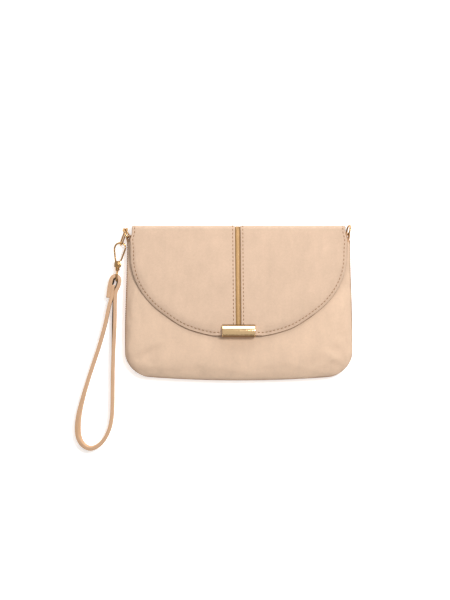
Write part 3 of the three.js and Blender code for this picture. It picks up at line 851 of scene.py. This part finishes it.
FLAP_HALF_WIDTH, FLAP_TOP_HALF_WIDTH = 105.3, 103.4
FLAP_SHOULDER_Y, FLAP_TIP_Y = 45, -32.6
OVAL = 2.05                        # exponent of the rim's curve, where 2 is an ellipse
FLAP_START_Z, FLAP_RISE, FLAP_SIDE_DROP, FLAP_STACK = 13.3, 8.9, 3, 3.5
FOLD_ARC = 71.0                    # the flap's face starts to turn down here
ARC_A, ARC_B, ARC_START = 4.0, 3.7, math.radians(8.4)
SPINE_MIDDLE_Z = 8.0
HEM, HEM_DEPTH = 0.85, 0.8         # the turned edge's half height and its depth
SKIN_DROOP, LINING_DROOP = 2.7, 1.5


def flap_half_width(y):
    return FLAP_HALF_WIDTH - (FLAP_HALF_WIDTH - FLAP_TOP_HALF_WIDTH) * smooth_step((y - 60) / 9)


def flap_edge(x, inset):
    """Half an oval, a little fuller on each side of the bar."""
    reach = min(1.0, abs(x) / (FLAP_HALF_WIDTH - inset))
    height = FLAP_SHOULDER_Y - FLAP_TIP_Y - inset
    fuller = 1.8 * smooth_step((abs(x) - 12) / 14) * smooth_step((74 - abs(x)) / 26)
    return FLAP_SHOULDER_Y - height * (1 - reach ** OVAL) ** (1 / OVAL) - fuller


def droop(x, y):
    """The rim of the flap hangs down on to the pouch, away from the bar and from the fold."""
    reach, depth = abs(x) / FLAP_HALF_WIDTH, (FLAP_SHOULDER_Y - y) / (FLAP_SHOULDER_Y - FLAP_TIP_Y)
    if depth > 0:
        share = max(1e-3, (reach ** OVAL + depth ** OVAL) ** (1 / OVAL))
        inside = math.hypot(x, y - FLAP_SHOULDER_Y) * (1 / share - 1)
    else:
        inside = FLAP_HALF_WIDTH - abs(x)
    free = smooth_step((abs(x) - 15) / 14) * smooth_step((62 - y) / 25)
    return (1 + 0.6 * min(1.0, reach) ** 4) * free * max(0.0, 1 - max(0.0, inside) / 11) ** 2


def flap_inner(x, y):
    along = (BACK_TOP_Y - y) / (BACK_TOP_Y - FLAP_TIP_Y)
    rise = FLAP_RISE * (1 - max(0.0, 1 - along) ** 1.6)
    return FLAP_START_Z + rise - FLAP_SIDE_DROP * along * (x / FLAP_HALF_WIDTH) ** 4


def face_z(x, y):
    return flap_inner(x, y) + FLAP_STACK - SKIN_DROOP * droop(x, y)


ARC_Z = face_z(0, FOLD_ARC) - ARC_B * math.cos(ARC_START)
ARC_Y = FOLD_ARC - ARC_A * math.sin(ARC_START)
FACE_Y = ARC_Y + ARC_A             # the outer face of the strip over the fold
ARC_LENGTH = (math.pi / 2 - ARC_START) * (ARC_A + ARC_B) / 2
DOWN = FOLD_ARC + ARC_LENGTH       # distances along the cloth, from here on
MIDDLE = DOWN + ARC_Z - SPINE_MIDDLE_Z
BACK_ARC = MIDDLE + SPINE_MIDDLE_Z - 3.5
END = BACK_ARC + 5.4


def fold_point(x, along, height):
    """A point of the flap's cloth: x across, along it from the tip to the back, and height above its face."""
    if along <= FOLD_ARC:
        dzdy = (face_z(x, along + 0.1) - face_z(x, along - 0.1)) / 0.2
        dzdx = (face_z(x + 0.1, along) - face_z(x - 0.1, along)) / 0.2
        point, normal = Vector((x, along, face_z(x, along))), Vector((-dzdx, -dzdy, 1)).normalized()
    elif along <= DOWN:
        a = ARC_START + (math.pi / 2 - ARC_START) * (along - FOLD_ARC) / ARC_LENGTH
        point = Vector((x, ARC_Y + ARC_A * math.sin(a), ARC_Z + ARC_B * math.cos(a)))
        normal = Vector((0, math.sin(a) / ARC_A, math.cos(a) / ARC_B)).normalized()
    elif along <= BACK_ARC:
        point, normal = Vector((x, FACE_Y, ARC_Z - (along - DOWN))), Vector((0, 1, 0))
    else:
        a = (math.pi / 2) * min(1.0, (along - BACK_ARC) / (END - BACK_ARC))
        point = Vector((x, FACE_Y - 3.5 + 3.5 * math.cos(a), 3.5 - 3.5 * math.sin(a)))
        normal = Vector((0, math.cos(a), -math.sin(a)))
    return point + normal * height


def thinner(along):
    """Share of the cloth's depth left where it goes over the fold."""
    return lerp(1.0, 0.46, smooth_step((along - 66) / 6))


def inlay_middle(along):
    return lerp(-0.2, -1.0, min(1.0, max(0.0, (along + 21) / 95)))


INLAY_GAP, INLAY_HALF_WIDTH = 2.55, 2.52
LONG_ROWS = 34
FOLD_ROWS = [69.0 + k for k in range(8)] + [DOWN, DOWN + 1.6, DOWN + 3.2, MIDDLE]
COLUMNS = 48
ROWS = LONG_ROWS + len(FOLD_ROWS)
# Distance in from the edge and height, from under the hem, round its roll and over the stitched groove.
HEM_STEPS = [(4.6, -2 * HEM), (3.0, -2 * HEM)]
HEM_STEPS += [(HEM_DEPTH * (1 - math.sin(a)), -HEM * (1 - math.cos(a)))
              for a in (math.radians(t) for t in range(180, -1, -30))]
GROOVE = 3.3
HEM_STEPS += [(1.7, 0.03), (2.5, 0.04), (2.95, -0.05), (GROOVE, -0.15), (3.65, -0.05), (4.1, 0.0),
              (4.9, 0.03), (5.7, 0.0)]
# Steps of the hem that take the painted shade under the rim.
SHADED_STEPS = range(0, 7)        # from under the hem to the outer side of its roll
INTERIOR = 7.2


def skin_position(side, inset, u, j):
    """Across and along of a place on one half of the flap, inset from its edges."""
    g = bunched(u)
    x_in = lambda along: INLAY_GAP + side * inlay_middle(along) + inset
    bottom = flap_edge(lerp(x_in(0), FLAP_HALF_WIDTH - inset, g), inset)
    if j <= LONG_ROWS:
        along = lerp(bottom, 68.0, (j / LONG_ROWS) ** 1.1)
    else:
        along = FOLD_ROWS[j - LONG_ROWS - 1]
    return lerp(x_in(along), flap_half_width(min(along, FOLD_ARC)) - inset, g), along


def groove_inset(inset, u, j):
    """The groove lies closer to the edge beside the inlay."""
    if inset <= 1 or inset > 5:
        return inset
    near_fold = lerp(1.05, 0.7, smooth_step((j - 8) / 18))
    return 1 + (inset - 1) * (0.58 if u == 0 else near_fold)


def rim_keys():
    keys = [(0.0, j) for j in range(ROWS, 0, -1)]
    keys += [(i / COLUMNS, 0) for i in range(COLUMNS + 1)]
    keys += [(1.0, j) for j in range(1, ROWS + 1)]
    return keys


def soft_height(x, along):
    """Slight unevenness of the face, and the edge of the board inside."""
    fade = smooth_step((70 - along) / 12)
    broad = noise.noise(Vector((x / 30, along / 26, 5.1)))
    fine = noise.noise(Vector((x / 9, along / 9, 1.2)))
    turned_in = 0.22 * smooth_step((12 - abs(x)) / 2.5)
    return fade * (0.16 * broad + 0.06 * fine + turned_in)


def add_flap_half(name, side):
    keys = rim_keys()
    verts, faces, slots, loops = [], [], [], []
    for inset, height in HEM_STEPS:
        loops.append(range(len(verts), len(verts) + len(keys)))
        for u, j in keys:
            x, along = skin_position(side, groove_inset(inset, u, j), u, j)
            share = thinner(along) if height < -0.5 else 1
            verts.append(fold_point(side * x, along, height * share))
    first = len(verts)
    for j in range(ROWS + 1):
        for i in range(COLUMNS + 1):
            x, along = skin_position(side, INTERIOR, i / COLUMNS, j)
            near_rim = min(1.0, min(i, COLUMNS - i, j) / 2)
            verts.append(fold_point(side * x, along, soft_height(side * x, along) * near_rim))
    loops.append([first + j * (COLUMNS + 1) + round(u * COLUMNS) for u, j in keys])
    for step, (a, b) in enumerate(zip(loops, loops[1:])):
        for k in range(len(keys) - 1):
            faces.append((a[k], a[k + 1], b[k + 1], b[k]))
            # The hem's underside and outer roll take the painted shade, except beside the inlay.
            slots.append(1 if step in SHADED_STEPS and keys[k][0] > 0 else 0)
    faces += grid_faces(COLUMNS, ROWS, first)
    slots += [0] * (len(faces) - len(slots))
    if side < 0:
        faces = [f[::-1] for f in faces]
    skin = make(name, verts, faces, FLAP, FLAP_RIM_SHADE, slots=slots)
    if sum(p.normal.z * p.area for p in skin.data.polygons) < 0:
        skin.data.flip_normals()
    thicken(skin, 0.62)
    return skin


def blend_front(obj):
    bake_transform(obj)


def blend_back(obj):
    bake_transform(obj)


def stitch_path(side, keys):
    path = []
    for u, j in keys:
        x, along = skin_position(side, groove_inset(GROOVE, u, j), u, j)
        p, q = fold_point(side * x, along, -0.05), fold_point(side * x, along, 0.95)
        path.append((p, (q - p).normalized()))
    return path


def strip(name, sides, heights, alongs, material, edge_shade=None):
    """A band along the fold's path. sides(along) gives its two edges, which dip and may take painted shade,
    one face wide on one edge and three on the other.
    """
    low, high = heights
    steps = 10
    dip = 0.45 if edge_shade else 0.1
    verts = []
    for along in alongs:
        x0, x1 = sides(along)
        upper = [(lerp(x0, x1, i / steps), high - dip * abs(2 * i / steps - 1) ** 4)
                 for i in range(steps + 1)]
        lower = [(lerp(x1, x0, i / steps), low) for i in range(steps + 1)]
        verts += [fold_point(x, along, h) for x, h in upper + lower]
    ring = 2 * steps + 2
    # Painted shade on the edge faces: one on the left edge, three on the right.
    shaded_faces = (0, steps - 3, steps - 2, steps - 1) if edge_shade else ()
    slots = [1 if i in shaded_faces else 0 for _ in alongs[1:] for i in range(ring)] + [0, 0]
    materials = (material, edge_shade) if edge_shade else (material,)
    return outward(make(name, verts, ring_faces(len(alongs), ring), *materials, slots=slots))


# The lining's path: where it turns down, how long it bends, its middle and where it turns under to the back.
LINING_ARC, LINING_BEND, LINING_MIDDLE, LINING_BACK = 69.5, 4.4, 79, 81.5
LINING_Y, LINING_BACK_Z = 72.65, 5.9


def lining_point(x, along, height):
    """Like fold_point, for the lining: height is from the middle of its thickness."""
    if along <= LINING_ARC:
        return Vector((x, along, flap_inner(x, along) - LINING_DROOP * droop(x, along) + 0.35 + height))
    z0 = flap_inner(x, LINING_ARC) + 0.35
    bend, back_bend = 2.8, 2.35
    into = along - LINING_ARC
    if into <= LINING_BEND:
        a = math.pi / 2 * into / LINING_BEND
        y = LINING_ARC + (LINING_Y - LINING_ARC + height) * math.sin(a)
        return Vector((x, y, z0 - bend + (bend + height) * math.cos(a)))
    if along <= LINING_MIDDLE:
        t = (into - LINING_BEND) / (LINING_MIDDLE - LINING_ARC - LINING_BEND)
        return Vector((x, LINING_Y + height, lerp(z0 - bend, SPINE_MIDDLE_Z, t)))
    if along <= LINING_BACK:
        t = (along - LINING_MIDDLE) / (LINING_BACK - LINING_MIDDLE)
        return Vector((x, LINING_Y + height, lerp(SPINE_MIDDLE_Z, LINING_BACK_Z, t)))
    a = math.pi / 2 * min(1.0, (along - LINING_BACK) / 4)
    reach = back_bend + height
    return Vector((x, LINING_Y - back_bend + reach * math.cos(a), LINING_BACK_Z - reach * math.sin(a)))


def add_lining(name, rows):
    """Lining over rows from side to side. Each row gives the place of a share from -1 to 1 across."""
    columns, half_thickness = 44, 0.33
    verts = []
    for layer in (1, -1):
        for j, row in enumerate(rows):
            for i in range(columns + 1):
                x, along = row(bunched(2 * i / columns - 1))
                shrink = 0.45 if (i in (0, columns) or j == 0) else 1.0
                verts.append(lining_point(x, along, layer * half_thickness * shrink))
    w, n, last = columns + 1, (columns + 1) * len(rows), len(rows) - 1
    faces = grid_faces(columns, last) + [f[::-1] for f in grid_faces(columns, last, n)]
    rim = list(range(w)) + [j * w + columns for j in range(1, last + 1)]
    rim += [last * w + i for i in range(columns - 1, -1, -1)] + [j * w for j in range(last - 1, 0, -1)]
    for a, b in zip(rim, rim[1:] + rim[:1]):
        faces.append((a, n + a, n + b, b))
    return outward(make(name, verts, faces, LINING))


def add_flap():
    keys = rim_keys()
    lines = {
        "edge": [k for k in keys[ROWS + 4:] if k[1] <= ROWS - 1],
        "inlay": [k for k in keys[:ROWS] if k[1] <= ROWS - 1],
    }
    back_alongs = [lerp(MIDDLE, END, k / 14) for k in range(15)]
    for side, label in ((-1, "left"), (1, "right")):
        skin = add_flap_half(f"flap_{label}_suede", side)
        blend_front(skin)
        dress(skin, None, [f"flap_{label}"])
        for tag, line_keys in lines.items():
            path = stitch_path(side, line_keys)
            line = stitch_line(f"flap_{label}_{tag}_stitches", path, pitch=3.8, length=2.4, radius=0.38)
            blend_front(line)
            dress(line)

        # The same cloth goes on down the fold and under to the back.
        edge = lambda along, s=side: (s * INLAY_GAP + inlay_middle(74), s * FLAP_TOP_HALF_WIDTH)
        under = strip(f"fold_{label}_suede", edge, (-1.1, 0.0), back_alongs, FLAP)
        blend_back(under)
        dress(under, None, [f"spine_{label}"])

    middle = lambda along: (inlay_middle(along) - INLAY_HALF_WIDTH, inlay_middle(along) + INLAY_HALF_WIDTH)
    alongs = [lerp(-28, 68, k / 40) for k in range(41)] + FOLD_ROWS
    inlay = strip("inlay_strip", middle, (-1.26, -0.65), alongs, INLAY, INLAY_EDGE_SHADE)
    blend_front(inlay)
    dress(inlay, None, ["flap_inlay"])
    inlay_back = strip("inlay_strip_fold", middle, (-1.1, -0.5), back_alongs, INLAY, INLAY_EDGE_SHADE)
    blend_back(inlay_back)
    dress(inlay_back, None, ["spine_inlay"])

    inset = 1.3
    half, top = FLAP_HALF_WIDTH - inset, FLAP_TOP_HALF_WIDTH - inset

    def face_row(v):
        """A row of the lining, from the rim at v = 0 to the fold at v = 1."""
        def row(g):
            along = lerp(flap_edge(g * half, inset), LINING_ARC, v)
            return g * (flap_half_width(along) - inset), along
        return row

    straight_row = lambda along: lambda g: (g * top, along)
    rows = [face_row(k / 26) for k in range(27)]
    rows += [straight_row(LINING_ARC + 0.55 * k) for k in range(1, 9)]
    rows += [straight_row(76), straight_row(LINING_MIDDLE)]
    lining = add_lining("flap_lining_cloth", rows)
    blend_front(lining)
    dress(lining, None, ["flap_lining"])
    alongs = [LINING_MIDDLE, 80.2, LINING_BACK] + [LINING_BACK + 0.5 * k for k in range(1, 9)]
    under = add_lining("fold_lining_cloth", [straight_row(along) for along in alongs])
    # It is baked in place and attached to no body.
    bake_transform(under)
    dress(under, None, ["spine_lining"])


def add_bar():
    (x0, y0, z0), (x1, y1, z1) = box_mm("clasp_bar")
    height, wall = 5.2, 0.95
    middle, middle_z = (y0 + y1) / 2, (z0 + z1) / 2
    top = z1 - height
    # The section round a slot for the flap's tip, as (y, z): a steep back, a facet that faces the fold, a
    # slightly arched middle and a narrow facet that faces the bottom.
    section = [(y1, top), (y1 - 0.2, top + 1.2), (middle + 4.7, top + 3.03)]
    arch = 7.47
    for k in range(11):
        a = math.radians(lerp(22, -22, k / 10))
        section.append((middle - 0.6 + arch * math.sin(a), top + height - arch * (1 - math.cos(a))))
    section += [
        (middle - 4.3, top + 3.95), (y0 + 0.25, top + 1.6), (y0, top + 1.0), (y0, z0 + 1.0),
        (y0 + 0.3, z0 + 0.3), (y0 + 1.0, z0), (y1 - 1.6, z0), (y1 - 1.3, z0 + 0.25),
        (y1 - 1.3, z0 + wall - 0.2), (y1 - 1.6, z0 + wall), (y0 + wall + 0.5, z0 + wall),
        (y0 + wall, z0 + wall + 0.5), (y0 + wall, top - 0.35), (y0 + wall + 0.35, top), (y1 - 0.6, top),
    ]
    # The ends are rounded off: distance in from an end, and the section's size there.
    steps = [(0, 0.93), (0.1, 0.965), (0.35, 0.99), (0.8, 1.0)]
    xs = [(x0 + d, k) for d, k in steps] + [(x1 - d, k) for d, k in steps[::-1]]
    verts = [(x, lerp(middle, y, k), lerp(middle_z, z, k)) for x, k in xs for y, z in section]
    faces = ring_faces(len(xs), len(section))
    bar = sharpen(outward(make("clasp_bar_gold", verts, faces, GOLD, GOLD_SHADED_SIDES)), 9)
    # The steep sides of the bar's upper part take the darker gold: painted shade and painted dark reflection.
    for face in bar.data.polygons:
        face.material_index = int(abs(face.normal.y) > 0.74 and face.center.z > (top - 1) * MM)
    dress(bar, "flap", ["clasp_bar"])


def add_snap():
    (x0, y0, z0), (x1, y1, z1) = box_mm("snap_socket")
    r = (x1 - x0) / 2
    at = Matrix.Translation((0, (y0 + y1) / 2 * MM, 0))
    profile = [
        (0, z0), (r - 0.4, z0), (r, z0 + 0.35), (r - 0.1, z1 - 0.35), (r - 0.7, z1), (5.2, z1 - 0.02),
        (5.0, z1 - 0.25), (4.7, z1 - 0.25), (4.5, z1 - 0.02), (3.6, z1), (3.2, z1 - 0.3), (3.2, z0 + 0.35),
        (0, z0 + 0.35),
    ]
    socket = placed(lathe("snap_socket_disc", profile, GOLD_FINE, 56), at)
    dress(socket, "pouch", ["snap_socket"])
    (_, _, z0), (_, _, z1) = box_mm("snap_stud")
    plate = z1 - 0.8
    profile = [
        (0, z0), (1.9, z0), (2.35, z0 + 0.15), (2.6, z0 + 0.5), (2.6, plate - 0.1), (3.0, plate),
        (4.6, plate), (4.8, plate + 0.2), (5.1, plate + 0.2), (5.3, plate), (r - 0.6, plate),
        (r, plate + 0.35), (r - 0.15, z1), (0, z1),
    ]
    stud = placed(lathe("snap_stud_disc", profile, GOLD_FINE, 56), at)
    dress(stud, "flap", ["snap_stud"])


# ---------------------------------------------------------------- rings, link, hook

def d_path(half, height, corner):
    """A D: a straight bar at the bottom, small corners, straight legs and a half round top."""
    top = height - half
    path = [(lerp(corner - half, half - corner, k / 8), 0) for k in range(9)]
    path += arc_points(half - corner, corner, corner, -90, 0, 6)[1:]
    path += [(half, lerp(corner, top, k / 4)) for k in range(1, 5)]
    path += arc_points(0, top, half, 0, 180, 24)[1:]
    path += [(-half, lerp(top, corner, k / 4)) for k in range(1, 5)]
    path += arc_points(corner - half, corner, corner, 180, 270, 6)[1:-1]
    return path


def long_path(half, height, corner):
    """A closed path with two straight legs, and at both ends a half round or a bar with rounded corners."""
    flat = half - corner
    legs = [lerp(corner, height - corner, k / 10) for k in range(1, 10)]
    across = [lerp(flat, -flat, k / 8) for k in range(1, 8)] if flat > 0.05 else []
    path = arc_points(flat, corner, corner, -90, 0, 12) + [(half, y) for y in legs]
    path += arc_points(flat, height - corner, corner, 0, 90, 12) + [(x, height) for x in across]
    path += arc_points(-flat, height - corner, corner, 90, 180, 12)[0 if across else 1:]
    path += [(-half, y) for y in legs[::-1]] + arc_points(-flat, corner, corner, 180, 270, 12)
    return path + [(-x, 0) for x in across] if across else path[:-1]


def basis(x, y, origin):
    z = x.cross(y)
    m = Matrix((x, y, z)).transposed().to_4x4()
    m.translation = Vector(origin) * MM
    return m


RING_WIRE, LINK_WIRE, ARM_WIRE, GATE_WIRE, EYE_WIRE = 0.87, 0.77, 0.93, 0.85, 0.87    # radii
RINGS = {
    "left": {"at": (-106.9, 63.4, 8.2), "lean": 31, "tilt": -15},
    "right": {"at": (105.7, 65.6, 8.2), "lean": -12, "tilt": 15},
}
LINK = {"at": (-114.8, 55.6, 5.3), "lean": -20.5, "tilt": 14}


def at_bar(ring, along=None):
    """The place of a ring's bar, with y up its arch or as near to along as the ring's tilt lets it."""
    lean = math.radians(ring["lean"])
    arch = Vector((-math.sin(lean), math.cos(lean), 0))
    up = Matrix.Rotation(math.radians(ring["tilt"]), 3, arch) @ Vector((0, 0, 1))
    y = Vector(along) if along else arch
    y = (y - up * y.dot(up)).normalized()
    return basis(up, y, ring["at"])


def add_rings():
    for side, ring in RINGS.items():
        path = [(x, y, 0) for x, y in d_path(4.6, 9.4, 1.3)]
        loop = wire(f"d_ring_{side}_gold", path, RING_WIRE, BRASS, closed=True)
        placed(loop, at_bar(ring))
        dress(loop, f"ring_{side}", [f"d_ring_{side}"])

        # A leather strip folded round the ring's bar and stitched to itself below it.
        fold_radius = 1.6
        lower = [(-10, -0.6), (-8, -0.65), (-6, -0.7), (-4.4, -0.85), (-3, -1.15), (-1.6, -1.5)]
        bend = [(-x, -y) for x, y in arc_points(0, 0, fold_radius, 75, 285, 14)]
        path = [(0, y, z) for y, z in lower + bend + [(y, -z) for y, z in lower[::-1]]]
        a, b, cut = 0.5, 2.85, 0.25    # half thickness, half width and cut corner of the strip
        half_section = [(a - cut, b), (a, b - cut), (a, cut - b), (a - cut, -b)]
        section = half_section + [(-x, -y) for x, y in half_section]
        tab = sweep(f"ring_tab_{side}_leather", path, section, LEATHER, up=(1, 0, 0))
        placed(tab, at_bar(ring, (0, 1, 0)))
        dress(tab, "pouch", [f"ring_tab_{side}"])
        for face, tag in ((-1, "a"), (1, "b")):
            row = [(Vector((lerp(-2.1, 2.1, k / 8), -3.9, face * 1.5)), Vector((0, 0, face)))
                   for k in range(9)]
            line = stitch_line(f"ring_tab_{side}_stitches_{tag}", row, pitch=1.35, length=1.0, radius=0.16)
            placed(line, at_bar(ring, (0, 1, 0)))
            dress(line, "pouch")


def add_link():
    path = [(x, y, 0) for x, y in long_path(4.3, 17.6, 4.3)]
    loop = wire("link_ring_gold", path, LINK_WIRE, BRASS, closed=True)
    placed(loop, at_bar(LINK))
    dress(loop, "link", ["link_ring"])


HOOK_AT = (-117.4, 36.8, 6.5)
HOOK_LEAN = math.radians(-5.2)


def on_hook(obj):
    m = Matrix.Translation(Vector(HOOK_AT) * MM) @ Matrix.Rotation(HOOK_LEAN, 4, "Z")
    return placed(obj, m)


def add_hook_body():
    arm = [(-2.4, 1.5), (-2.6, 3.4), (-3.3, 7), (-4.4, 12.5), (-4.5, 16.4), (-3, 19.6), (0.2, 21.2),
           (3.4, 20.6), (5.5, 18.7)]
    pieces = [wire("arm", catmull([(x, y, 0) for x, y in arm], 60), ARM_WIRE, BRASS)]
    outline = [(-2.5, -2.9), (2.5, -2.9), (3.3, -1.7), (3.5, -0.4), (3.3, 2.6), (2.5, 3.9), (1.4, 3.6),
               (-1.4, 3.6), (-2.4, 4.0), (-3.3, 3.0), (-3.5, -0.4), (-3.3, -1.8)]
    for low, high in ((-1.5, -0.88), (0.88, 1.5)):
        pieces.append(slab("cheek", outline, low, high, BRASS, 0.18))
    back = [(-3.4, -2.8), (-2.4, -2.8), (-2.4, 3.6), (-3.3, 2.9)]
    pieces.append(slab("back", back, -1.4, 1.4, BRASS, 0.15))
    foot = [(-2.5, -2.95), (2.5, -2.95), (2.6, -2.35), (-2.6, -2.35)]
    pieces.append(slab("foot", foot, -1.4, 1.4, BRASS, 0.12))
    # The barrel that the eye turns in, with two grooves round it.
    profile = [
        (0.95, -2.75), (2.0, -2.75), (2.2, -2.95), (2.2, -3.35), (2.02, -3.5), (2.02, -3.62), (2.2, -3.77),
        (2.2, -5.5), (2.02, -5.65), (2.02, -5.77), (2.2, -5.9), (2.2, -6.1), (2.05, -6.25), (1.15, -6.25),
        (1.1, -6.1), (1.1, -4.7), (1.7, -4.55), (1.7, -2.95), (0.95, -2.95),
    ]
    pieces.append(lathe("barrel", profile, BRASS, 44, "Y"))
    body = on_hook(joined("hook_body_gold", pieces))
    dress(sharpen(body), "hook", ["hook_body"])

    half = [(0, 1.95), (0.7, 1.93), (1.2, 1.82), (1.45, 1.6), (1.5, 1.52), (0.7, 1.48)]
    rivet = on_hook(lathe("gate_rivet_gold", half + [(r, -h) for r, h in half[::-1]], BRASS))
    dress(rivet, "hook", ["gate_rivet"])


def add_gate():
    route = [(1.4, 0.6), (1.9, 1.8), (2.6, 3.9), (4.2, 9.6), (5.5, 14.6), (5.95, 16.9)]
    bar = wire("gate_bar", catmull([(x, y, 0) for x, y in route], 40), GATE_WIRE, BRASS)
    profile = [(0.85, -0.6), (1.4, -0.6), (1.55, -0.45), (1.55, 0.45), (1.4, 0.6), (0.85, 0.6)]
    eye = lathe("gate_eye", profile, BRASS)
    gate = on_hook(joined("hook_gate_gold", [bar, eye]))
    dress(sharpen(gate), "gate", ["hook_gate"])
    spring = sweep("gate_spring_leaf", [(-1.95, -1.5, 0), (-1.98, 0, 0), (-2.0, 1.8, 0), (-1.9, 3.5, 0)],
                   [(0.13, 0.5), (-0.13, 0.5), (-0.13, -0.5), (0.13, -0.5)], GOLD_FINE, up=(0, 0, 1))
    dress(on_hook(spring), "hook", ["gate_spring"])


def add_swivel_eye():
    bar_y, top_y = -15.8, -7.2
    path = [(0, bar_y + y, -x) for x, y in long_path(5.55, top_y - bar_y, 1.9)]
    loop = wire("eye_loop", path, EYE_WIRE, BRASS, closed=True)
    profile = [(0, -3.2), (1.1, -3.2), (1.3, -3.35), (1.3, -3.9), (0.8, -4.05), (0.8, -6.5), (1.35, -6.7),
               (1.5, -7.0), (1.35, -7.5), (0.9, -7.9), (0, -7.95)]
    stem = lathe("stem", profile, BRASS, axis="Y")
    eye = on_hook(joined("swivel_eye_gold", [loop, stem]))
    dress(sharpen(eye), "swivel", ["swivel_eye"])


# ---------------------------------------------------------------- inside the pouch

def add_teeth(name, node):
    """One row of zip teeth: small rounded blocks side by side."""
    (x0, y0, z0), (x1, y1, z1) = box_mm(node)
    pitch, width = 2.0, 1.15
    middle = (y0 + y1) / 2
    verts, faces = [], []
    for n in range(int((x1 - x0) / pitch)):
        c = x0 + 0.4 + n * pitch + width / 2
        faces += ring_faces(4, 4, base=len(verts))
        for z, k in ((z0, 0.8), (z0 + 0.25, 1.0), (z1 - 0.25, 1.0), (z1, 0.75)):
            h, w = width / 2 * k, (y1 - y0) / 2 * (0.85 + 0.15 * k)
            verts += [(c - h, middle - w, z), (c + h, middle - w, z)]
            verts += [(c + h, middle + w, z), (c - h, middle + w, z)]
    teeth = outward(make(name, verts, faces, GOLD_FINE, smooth=False))
    dress(teeth, "pouch", [node])


def paint(node, material):
    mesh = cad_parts[node].data
    mesh.materials.clear()
    mesh.materials.append(material)


def add_inside():
    cloths = [
        ("back_lining", "back_lining_cloth", 0.16), ("front_lining", "front_lining_cloth", 0.16),
        ("mouth_facing", "mouth_facing_suede", 0.08), ("zip_pocket_panel", "zip_pocket_cloth", 0.1),
        ("zip_pocket_top_strip", "zip_pocket_top_cloth", 0.06), ("card_panel", "card_panel_cloth", 0.08),
    ]
    cloths += [(f"card_slot_{i}", f"card_slot_{i}_cloth", 0.08) for i in (1, 2, 3)]
    for node, name, wobble in cloths:
        material, slot_name = (POUCH, "suede") if node == "mouth_facing" else (LINING, "lining")
        refine(node, name, material, "pouch", wobble=wobble)
    for row in ("lower", "upper"):
        refine(f"zip_tape_{row}", f"zip_tape_{row}_woven", TAPE, "pouch", bevel=0.12)
        add_teeth(f"zip_teeth_{row}_metal", f"zip_teeth_{row}")
    metals = [("zip_stop_left", "pouch", 0.3), ("zip_stop_right", "pouch", 0.3),
              ("zip_slider", "slider", 0.15), ("zip_pull", "pull", 0.18)]
    for node, body, bevel in metals:
        refine(node, f"{node}_metal", GOLD_FINE, body, bevel=bevel)
    for node in ("back_board", "flap_board"):
        paint(node, BOARD)
    for node in ("snap_socket_washer", "snap_stud_washer"):
        paint(node, GOLD_FINE)


add_pouch()
add_flap()
add_bar()
add_snap()
add_rings()
add_link()
add_hook_body()
add_gate()
add_swivel_eye()
add_inside()
